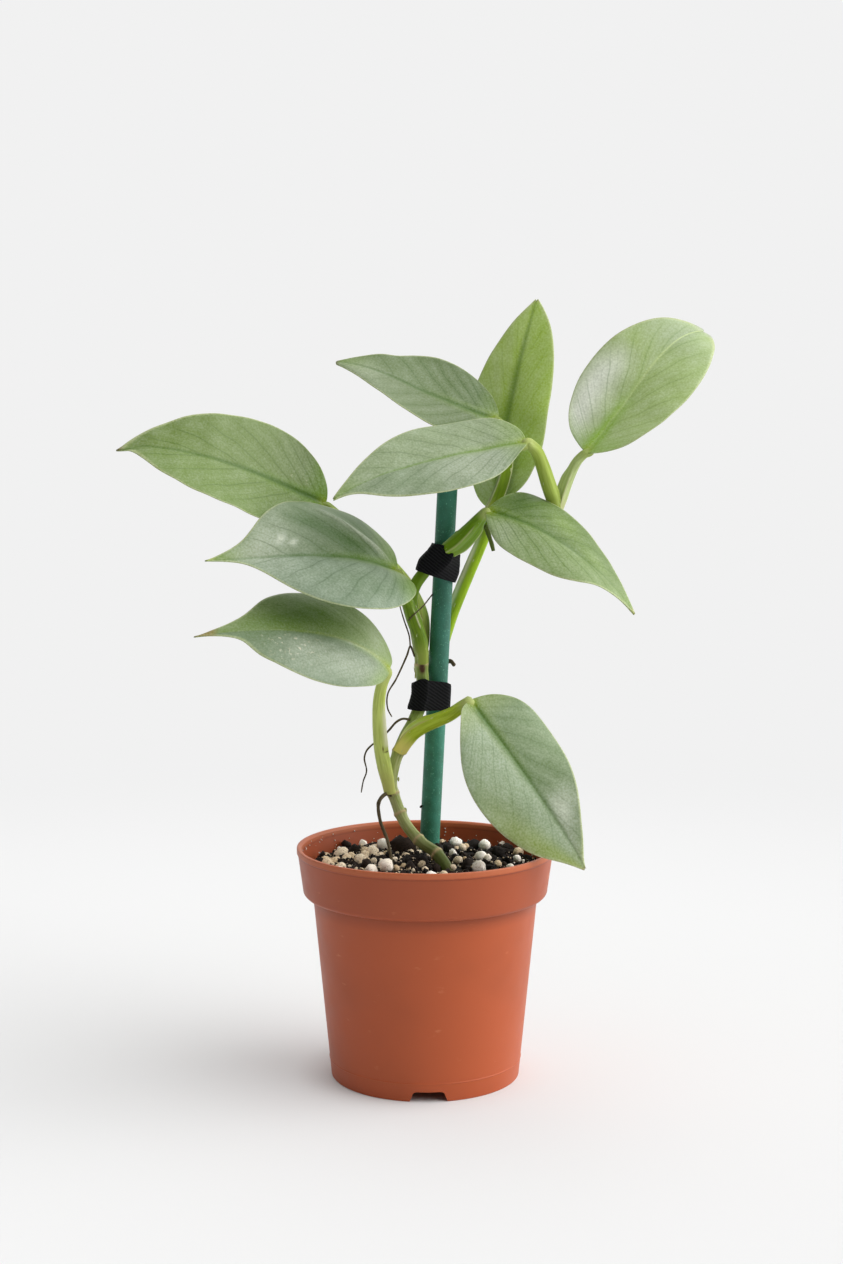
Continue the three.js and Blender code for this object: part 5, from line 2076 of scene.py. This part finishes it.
@dataclass
class Foliage:
    """The nine leaves, in order: far left, left middle, left low, top, across, upright, far
    right, right middle, right low."""

    # Tones of patches and creases are painted light, sheen above 0 and shade below 0; the halves'
    # colours a and b differ by painted light and shade.
    blades: tuple[Blade, ...] = (
        Blade(
            "blade_1", (-46.5, 18, 267), -152, 25, -64, 98, 0.04, 1.2,
            Half(27.5, 0.34, 0.05, 1.2, (0, 0, 0, 0, 0.2, 0.5, 1, 1.4, 0.8, -2.2, 0)),
            Half(27.5, 0.38, 0.02, 1.2, (0, 0.6, -0.2, -0.8, -0.7, -0.4, -0.5, -0.4, -1, -0.8, 0)),
            0.08, 0.16, 0.06, 16, 0.1, -0.08,
            skin(
                "1", a="#748a4b", b="#718647", base="#719a24", streak=0.08, vein="#3f5c18",
                vein_share=0.42, midrib="#3f6200", rib_wide=2.0, rib_base=1.0, rib_end=0.4,
                tip="#6c5a3c",
            ),
            (Patch(0.16, -0.3, 0.05, 0.08, 0, 1.0), Patch(0.1, -0.6, 0.2, 0.5, 0.12)),
            hook=(0.6, 3.0),
        ),
        Blade(
            "blade_2", (-12.5, -4, 237), -135, 22, -38, 80, 0.16, 1.1,
            Half(32, 0.34, 0.07, 1.7, (0, 0, 0.6, 0.4, 0.3, 0.1, 0.1, 0.2, 0.5, -0.8, 0)),
            Half(33, 0.5, 0.12, 1.3, (0, 1, 3, 3.4, 2.8, 1.6, 0.8, 1.6, 3.1, 1.8, 0)),
            0.56, -0.06, -0.14, -22, 0.34, 0.32,
            skin(
                "2", a="#82947a", b="#738662", base="#8aa844", vein_share=0.34, vein="#3c5624",
                rib_wide=1.8, tip="#b4bf72",
            ),
            (
                Patch(0.1, 0.3, 0.16, 0.5, -0.2), Patch(0.85, 0.4, 0.2, 0.6, 0.25),
                Patch(0.2, -0.75, 0.22, 0.2, -0.45), Patch(0.82, -0.5, 0.16, 0.6, 0.4),
                Patch(0.69, -0.47, 0.025, 0.1, 0.5), Patch(0.63, -0.33, 0.022, 0.07, 0.6),
                Patch(0.3, 0.05, 0.25, 0.12, -0.4), Patch(1.0, 0, 0.12, 1.5, 0, 0, 0.7),
            ),
            (Crease((38, -30), (3, -2), 1.7, 1.1, 0.6), Crease((50, -24), (18, -4),
             4.5, -0.7, -0.7)),
            hook=(2.6, -0.3),
        ),
        Blade(
            "blade_3", (-16.5, -12, 192.5), -132, 44, -62, 71, 0.12, 1.1,
            Half(26, 0.48, -0.02, 1.6, (0, 1, 0.5, -0.3, 0, -0.1, 0, 0.6, 2.3, 1.2, 0)),
            Half(27, 0.58, 0.11, 1.3, (0, 0, 0.8, 0, 0, 0.8, 1.7, 3, 4.6, 3.6, 0)),
            0.62, 0.06, 0.28, 1, 0.02, 0.18,
            skin(
                "3", a="#7f8f74", b="#869964", vein_share=0.1, streak=0.05, midrib="#a3b070",
                rib_base=0.7, rib_end=0.1, rib_wide=1.2, dark="#4c6f10", tip="#8f8450",
            ),
            (
                Patch(0.62, -0.5, 0.26, 0.42, -0.6), Patch(0.1, -0.5, 0.2, 0.5, 0.3),
                Patch(0.85, 0.4, 0.16, 0.8, -0.4), Patch(0.6, 0.02, 0.16, 0.09, -0.5),
                Patch(0.66, 0.55, 0.12, 0.35, 0.2, 0.7), Patch(0.3, 0.5, 0.3, 0.3, 0.25),
                Patch(0.05, 0.8, 0.12, 0.5, 0, 0, 0.6),
            ),
            (Crease((0, -1), (34, 1), 0.9, 0.5, 0.3),),
            hook=(4.4, 0.5),
        ),
        Blade(
            "blade_4", (34, 16, 306.5), 176, 17, -40, 81, 0.26, 1.1,
            Half(22, 0.3, 0.05, 0.7, (0, 0, 0, 0, 0, 0, 0, 0.7, 0.3, 0.7, 0)),
            Half(22, 0.34, -0.01, 0.8, (0, 0, 0.3, 0.6, 0.9, 1.1, 1.6, 1, 0.2, 2, 0)),
            -0.16, 0.16, -0.06, 3, 0.02, -0.1,
            skin(
                "4", a="#6b7c53", b="#687b4f", vein_share=0.3, rib_wide=1.9, midrib="#416318",
                tip="#8d8f5c",
            ),
            (
                Patch(0.85, 0.3, 0.2, 0.8, 0.2), Patch(0.1, -0.5, 0.14, 0.5, -0.25),
                Patch(1.0, -0.3, 0.16, 1.0, 0, 0, 0.6),
            ),
            hook=(1, 0),
        ),
        Blade(
            "blade_5", (46, -8, 296.5), -167, -10, -33, 96, 0.14, 1.1,
            Half(22.5, 0.36, -0.04, 1.2, (0, 0, 0, 0, 0.1, 0.3, -0.2, -0.7, 0, -0.6, 0)),
            Half(22.5, 0.26, 0.03, 0.9, (0, 0, 0, 0, -0.3, -0.6, -0.9, -1, -1.2, -0.8, 0)),
            -0.1, 0.1, 0.18, -18, 0.26, 0.2,
            skin(
                "5", a="#849474", b="#899973", vein_share=0.3, rib_wide=1.2, midrib="#6b8a34",
                tip="#8d9c52",
            ),
            (
                Patch(0.32, 0.5, 0.2, 0.5, 0.25), Patch(0.62, 0.5, 0.16, 0.5, -0.15),
                Patch(0.98, 0, 0.1, 1.5, 0, 0, 0.6),
            ),
        ),
        Blade(
            "blade_6", (34, 26, 265), 17, 87, 22, 100, 0.08, 1.2,
            Half(22.5, 0.36, 0.04, 1.1, (0, 0, 0.1, 0, 0, 0, -0.4, -1.2, -0.9, 0, 0)),
            Half(22.5, 0.28, -0.03, 0.9, (0, 0, 0, 0.2, 0, 0, -0.7, -0.2, 0, 0, 0)),
            0.2, -0.02, 0, 36, 0.18, 0.2,
            skin(
                "6", a="#a9c45f", b="#b2cf6a", streak=0.15, vein="#7d9a46", base="#9dbb4c",
                dark="#5d7d2b", midrib="#5f8028", rib_wide=2.6, grain=0.12, tip="#9a9a62",
            ),
            (
                Patch(0.5, 0.02, 0.5, 0.2, -0.4), Patch(0.4, 0.7, 0.5, 0.35, 0.18),
                Patch(0.3, -0.5, 0.3, 0.4, 0, 0, 0.5), Patch(0.08, 0, 0.1, 1.5, 0.4),
            ),
        ),
        Blade(
            "blade_7", (74.5, 8, 291.5), 24, 45, 23, 87, -0.04, 1.1,
            Half(25, 0.34, 0, 1.5, (0, -1, 0.2, 0, -0.2, 0, -0.2, -0.8, 0, 0.3, 0)),
            Half(26, 0.34, 0.01, 0.9, (0, -0.5, -1.4, -1.5, -1.5, -0.7, 0.5, 0.6, -1.4, -3.4, 0)),
            -0.18, 0.28, 0.04, 44, 0.16, -0.08,
            skin(
                "7", a="#abc080", b="#a9c07a", tip="#a9b594", vein="#688644", vein_share=0.3,
                streak=0.15, midrib="#c3d394", rib_wide=0.9, rib_base=0.2, rib_end=0.9,
                base="#8fb840", light="#f4f8ea", dark="#8a9880", grain=0.14,
            ),
            (
                Patch(0.16, 0.7, 0.3, 0.36, 0.95), Patch(0.45, 0.7, 0.14, 0.25, 0.4),
                Patch(0.9, 0.2, 0.2, 1.3, -0.6), Patch(0.1, 0, 0.25, 0.15, 0, 0, 0.8),
            ),
        ),
        Blade(
            "blade_8", (28, -6, 265), -17, -13, 41, 77, 0.14, 1.2,
            Half(23, 0.32, -0.01, 1, (0, 0, 0, 0.4, 0.5, -0.6, -1.6, -1.2, 0.2, 0.8, 0)),
            Half(22.5, 0.4, -0.01, 1.3, (0, 0, 0.6, 1.3, 0.8, 0.2, 0.8, 0.7, -0.1, 0.2, 0)),
            0.18, 0.08, -0.26, -25, 0.16, 0.2,
            skin(
                "8", a="#6e8549", b="#7d925a", dark="#3f5f0c", vein="#3c5a1c", vein_share=0.45,
                rib_wide=1.7, rib_end=0.1, tip="#a5a86a",
            ),
            (
                Patch(0.08, 0.5, 0.18, 0.55, -0.85), Patch(0.1, -0.5, 0.14, 0.5, 0.4),
                Patch(1.0, 0, 0.12, 1.5, 0, 0, 0.6), Patch(0.4, 0.1, 0.2, 0.1, -0.3),
                Patch(0.45, 0.6, 0.1, 0.3, 0, 0, 0.5), Patch(0.7, 0.3, 0.1, 0.3, 0, 0, 0.4),
            ),
            hook=(1.5, 0.3),
        ),
        Blade(
            "blade_9", (20.5, -12, 178.5), -11, -52, 42, 92, 0.12, 1.4,
            Half(25, 0.28, 0.01, 1.5, (0, -1, 0.2, 0, -0.6, -0.8, -0.4, -0.3, -0.2, 0.8, 0)),
            Half(26, 0.42, 0.03, 0.9, (0, 1.5, -0.5, -0.4, 0.6, 0.8, 0.6, 0.2, 0, -0.4, 0)),
            -0.16, 0.02, -0.16, 32, 0.22, 0.26,
            skin(
                "9", a="#7d9168", b="#93a483", base="#9bab62", vein_share=0.22, rib_wide=2.6,
                rib_base=1.0, rib_end=0.2,
            ),
            (
                Patch(0.7, 0.5, 0.09, 0.4, 0.7), Patch(0.9, 0.4, 0.12, 0.6, 0.3),
                Patch(0.78, -0.9, 0.3, 0.3, 0, 0, 0.8), Patch(1.0, 0, 0.1, 1.5, 0, 0, 0.6),
            ),
        ),
    )
    petioles: tuple[Petiole, ...] = (
        Petiole(
            "petiole_1", 2.9, 1.9, 0.3, (0.6, -0.5, 0.6),
            ((-2.5, 17.5, 195), (-1.5, 22.5, 202), (-2, 23, 214.5), (-6, 22.5, 225.5),
             (-12, 22, 234),
             (-23.5, 21, 246), (-36.5, 19.5, 258), (-43, 18.5, 264), (-46.5, 18, 267)),
            # Colours lightened as painted light where the stake shades this stalk.
            stalk("1", body="#d9ee78", shade="#c4da62"),
        ),
        Petiole(
            "petiole_2", 3.6, 2.3, 0.6, (1, -0.3, 0.4),
            ((-0.9, 11.5, 193), (-1.4, 10.3, 199.2), (-2.7, 9, 206.4), (-5.6, 6.3, 214.2),
             (-8.0, 2.5, 222), (-11, -2, 231), (-12.5, -4, 237)),
            stalk(
                "2", body="#6c8a0c", shade="#577406", edge="#dfe0b8", foot="#8a9a3c",
                head="#8fa04c",
            ),
            foot=0.78, veil_from=0.36,
        ),
        Petiole(
            "petiole_3", 3.8, 2.4, 0.7, (1, 0.07, 0),
            ((-16.2, 0.5, 133), (-17.3, 0, 139.3), (-18.8, -1, 146.6), (-20.1, -2, 153.8),
             (-21.1, -5, 167.4), (-21, -7.5, 178), (-19.5, -10, 186), (-16.5, -12, 192.5)),
            stalk(
                "3", body="#c3d26e", shade="#abba58", foot="#bcc268", head="#b8c474",
                edge="#e8e8c6",
            ),
            foot=0.8, veil=0.34, veil_from=0.36,
            spots=((0.342, -0.95, 0.009, 0.5), (0.37, -1.42, 0.028, 0.13)),
        ),
        Petiole(
            "petiole_4", 2.9, 2.1, 0.8, (0.3, -1, 0),
            ((27, 14, 260.5), (30, 16, 264), (33.5, 16.5, 271), (36.5, 16.5, 279.5),
             (38, 16.5, 288),
             (37.5, 16, 297), (35, 16, 303), (34, 16, 306.5)),
            stalk("4", body="#738f14", shade="#5e780a", edge="#d6d9a8"),
        ),
        Petiole(
            "petiole_5", 3.7, 2.4, -0.3, (0.8, -0.6, 0.2),
            ((60, 9.5, 265), (59.5, 8, 269.5), (57, 5, 276.5), (53.5, 1, 286.5), (50.5, -4, 292.5),
             (46, -8, 296.5)),
            stalk(
                "5", body="#a3b552", shade="#8ea23c", foot="#86983a", edge="#d6d9a8",
                head="#acb968",
            ),
        ),
        Petiole(
            "petiole_6", 3, 2.7, 0.85, (-0.91, 0.41, 0),
            ((-2.9, 17, 187.5), (-2.6, 21.5, 188.5), (-0.6, 26.4, 190.2), (3.4, 29.6, 193),
             (7.5, 30.3, 198), (10.2, 30, 206), (12.8, 30, 214), (17.5, 29, 226), (20.8, 28.5, 234),
             (25.4, 27.5, 245), (28.6, 27, 253), (31.5, 26.5, 260), (34, 26, 265)),
            # Near white sheath edge: the membrane's pale colour with painted light shining through
            # it.
            stalk("6", body="#9cc012", shade="#84a606", edge="#f4fad0"), veil=0.36, veil_at=1.12,
        ),
        Petiole(
            "petiole_7", 2.8, 2, 0.6, (-0.7, -0.7, 0.2),
            ((62, 12, 265), (64, 11.5, 272), (67, 10.5, 280.5), (70.5, 9, 287.5), (74.5, 8, 291.5)),
            stalk("7", body="#bccb8a", shade="#a6b670", edge="#d6d9a8", foot="#c3c88c"),
        ),
        Petiole(
            "petiole_8", 4.4, 2.2, 0.7, (0.4, -0.6, -0.8),
            ((10.6, 8, 246.6), (15.2, 5.8, 249.9), (20.3, 2.5, 255), (24.6, -1.8, 260.4),
             (28, -6, 265)),
            stalk(
                "8", body="#719808", shade="#608204", edge="#b4c07c", foot="#6f9308",
                head="#a6b468",
            ),
        ),
        Petiole(
            "petiole_9", 3.8, 2.7, 0.5, (0, -0.3, 1),
            ((-11.7, 4.5, 152.8), (-9.3, 2.5, 157), (-5.6, 0.5, 161.8), (-0.6, -1, 165.2),
             (5.4, -3, 168.1), (11.6, -5.5, 171.2), (17, -9, 175.6), (20.5, -12, 178.5)),
            stalk("9", body="#b2c737", shade="#97ad22", foot="#e9df7d", head="#b2bd70"), foot=0.92,
        ),
    )

    def build(self) -> list[Piece]:
        """Builds each petiole with the blade that it carries.

        Returns:
            The pieces.
        """
        pieces = []
        for petiole, blade in zip(self.petioles, self.blades):
            pieces.append(petiole.build(blade))
            pieces.append(blade.build())
        return pieces


# ---------------------------------------------------------------- studio


class Side(Enum):
    """Directions from which the studio's soft light comes, as unit-free vectors."""

    KEY = (0.86, -0.18, 0.60)
    TOP = (0.0, 0.0, 1.0)
    BACK = (0.0, 1.0, 0.2)
    RIM = (0.92, 0.36, 0.2)


@dataclass
class Studio:
    """Pale sweep, soft light and the camera where the photograph was taken from."""

    eye: Point = (-1.73, -900.0, 302.2)
    pitch: float = 5.93
    focal_px: float = 1956.0
    tall_px: float = 1264.0
    sensor: float = 36.0
    paper: float = 0.88
    floor_albedo: float = 0.75
    ambient: float = 0.07
    # Metres from the pot's middle: floor lit to here, even from here, and the pot's contact.
    lit_to: float = 0.3
    even_from: float = 0.85
    contact: tuple[float, float] = (0.042, 0.062)
    lights: tuple[tuple[Side, float, float], ...] = (
        (Side.KEY, 3.5, 0.7),
        (Side.TOP, 0.85, 0.35),
        (Side.BACK, 0.8, 0.2),
        (Side.RIM, 1.1, 0.8),
    )

    def camera(self) -> None:
        """Camera with the photograph's view: its focal length is px times sensor over height."""
        data = bpy.data.cameras.new("camera")
        data.sensor_fit = "AUTO"
        data.sensor_width = self.sensor
        data.lens = self.focal_px * self.sensor / self.tall_px
        data.clip_start, data.clip_end = 0.05, 60
        eye = bpy.data.objects.new("camera", data)
        eye.location = [v * MM for v in self.eye]
        eye.rotation_euler = (math.radians(90 - self.pitch), 0, 0)
        bpy.context.scene.collection.objects.link(eye)
        bpy.context.scene.camera = eye

    def light(self) -> None:
        """World light: an even base, plus for each side a smooth cap of light round it.

        The strength in a direction d is base + sum of strength times the smooth step of
        d.side from its edge to 1. The camera itself sees the even pale paper.
        """
        world = bpy.data.worlds.new("studio")
        bpy.context.scene.world = world
        tree = opened(world)
        way = add(tree, "TexCoord").outputs["Generated"]
        total = self.ambient
        for side, strength, edge in self.lights:
            toward = unit(np.array(side.value))
            dot = add(tree, "VectorMath", {0: way, 1: toward.tolist()}, operation="DOT_PRODUCT")
            cap = add(
                tree, "MapRange",
                {"Value": dot.outputs["Value"], "From Min": edge, "From Max": 1.0,
                 "To Max": strength},
                interpolation_type="SMOOTHSTEP",
            )
            total = add(tree, "Math", {0: cap, 1: total}, operation="ADD")
        soft = add(tree, "Background", {"Color": "#ffffff", "Strength": total})
        paper = add(tree, "Background", {"Color": "#ffffff", "Strength": self.paper})
        seen = add(tree, "LightPath").outputs["Is Camera Ray"]
        mixed = add(tree, "MixShader", {0: seen, 1: soft, 2: paper})
        add(tree, "OutputWorld", {"Surface": mixed})

    def floor(self) -> Piece:
        """Pale floor: a disc whose paper takes light near the pot and is even further out.

        Returns:
            The disc.
        """
        radius = np.concatenate([np.linspace(1, 1500, 40), [4000, 20000]])
        sides, level = 96, -0.02
        grid = stacked(*polar(radius, sides), level)
        count = len(radius) * sides
        k = np.arange(sides)
        fan = stacked(count, k, (k + 1) % sides)
        faces = grid_faces(len(radius), sides)[:, ::-1]
        points = np.concatenate([grid.reshape(-1, 3), [[0, 0, level]]])
        disc = write_mesh("floor", Shape(points, [faces, fan]))
        material = bpy.data.materials.new("matte_paper")
        tree = opened(material)
        at = add(tree, "TexCoord").outputs["Object"]
        far = add(tree, "VectorMath", {0: at}, operation="LENGTH").outputs["Value"]
        out = add(
            tree, "MapRange",
            {"Value": far, "From Min": self.lit_to, "From Max": self.even_from, "To Min": 0.2},
            interpolation_type="SMOOTHSTEP",
        )
        low, high = self.contact
        clear = add(tree, "MapRange", {"Value": far, "From Min": low, "From Max": high})
        share = add(tree, "Math", {0: out, 1: clear}, operation="MULTIPLY")
        lit = add(tree, "BsdfDiffuse", {"Color": (self.floor_albedo,) * 3 + (1,)})
        even = add(tree, "Emission", {"Color": "#ffffff", "Strength": self.paper})
        mixed = add(tree, "MixShader", {0: share, 1: lit, 2: even})
        add(tree, "OutputMaterial", {"Surface": mixed})
        disc.data.materials.append(material)
        return disc

    def build(self) -> None:
        """Sets up camera, light and floor, and shows colours as they are."""
        bpy.context.scene.view_settings.view_transform = "Standard"
        self.camera()
        self.light()
        self.floor()


# ---------------------------------------------------------------- the whole


def main() -> None:
    """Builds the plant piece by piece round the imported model."""
    logging.basicConfig(level=logging.INFO, format="%(message)s")
    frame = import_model()
    Studio().build()
    NurseryPot().build()
    PottingMix().build()
    stake = Stake()
    stake.build()
    tube = frame["nodes"]["stake_tube"]
    tube.data.materials.clear()
    tube.data.materials.append(DrawnSteel("drawn_steel", 0.35).material())
    stem = MainStem()
    stem.build()
    for tie in (
        Tie("tie_lower", (2, 15, 176.4), (0.08, 0.02, 1), 150, 12.0, 1.4, arch=3.0, lap_length=150),
        Tie("tie_upper", (6.8, 15, 240.2), (0.36, 0.02, 1), 215, 14.0, 1.3, reach=5.5),
    ):
        tie.build(stake, stem)
    for root in (
        AerialRoot(
            "aerial_root_soil", 0.95, 0.6,
            ((-15.5, 0.5, 132), (-18.5, -2, 133), (-21.5, -5, 130), (-21, -8, 122.5),
             (-17.4, -14, 113.8), (-15.5, -19, 105.8), (-14.6, -23, 98.5), (-14, -24, 90)),
        ),
        AerialRoot(
            "aerial_root_left", 0.55, 0.3,
            ((-7, 8, 166.5), (-10.5, 7.5, 167), (-13.5, 7.5, 165.5), (-17, 8, 161.5),
             (-21, 8.5, 157.5), (-24.5, 8, 155), (-27.5, 7, 152), (-28.5, 6, 148.5),
             (-27.5, 6, 142.5), (-29, 5, 138), (-30, 4, 132.5)),
        ),
        AerialRoot(
            "aerial_root_middle", 0.5, 0.32,
            ((-5, 12, 196), (-7, 9.5, 201), (-8.5, 8.5, 197), (-13.5, 8, 186), (-17.5, 6, 179),
             (-17.5, 4, 172.5), (-15.5, 3, 168.5)),
            (
                ((-7, 9.5, 201), (-7.5, 8.5, 206), (-9.9, 7.5, 213.5), (-11.8, 5, 220.5),
                 (-13, 0, 228)),
                ((5, 24, 226), (2.4, 16, 223.6), (-1.4, 4, 220), (-5.5, 1.2, 216.4),
                 (-8, 3, 213.5)),
            ),
        ),
        AerialRoot(
            "aerial_root_behind", 0.75, 1.0,
            ((-1.5, 17.5, 187.5), (-0.5, 23, 186), (4, 27, 186.5), (9, 27.5, 190), (12, 26.5, 192),
             (14.2, 25.5, 189.8)),
        ),
    ):
        root.build()
    Foliage().build()


if __name__ == "__main__":
    main()
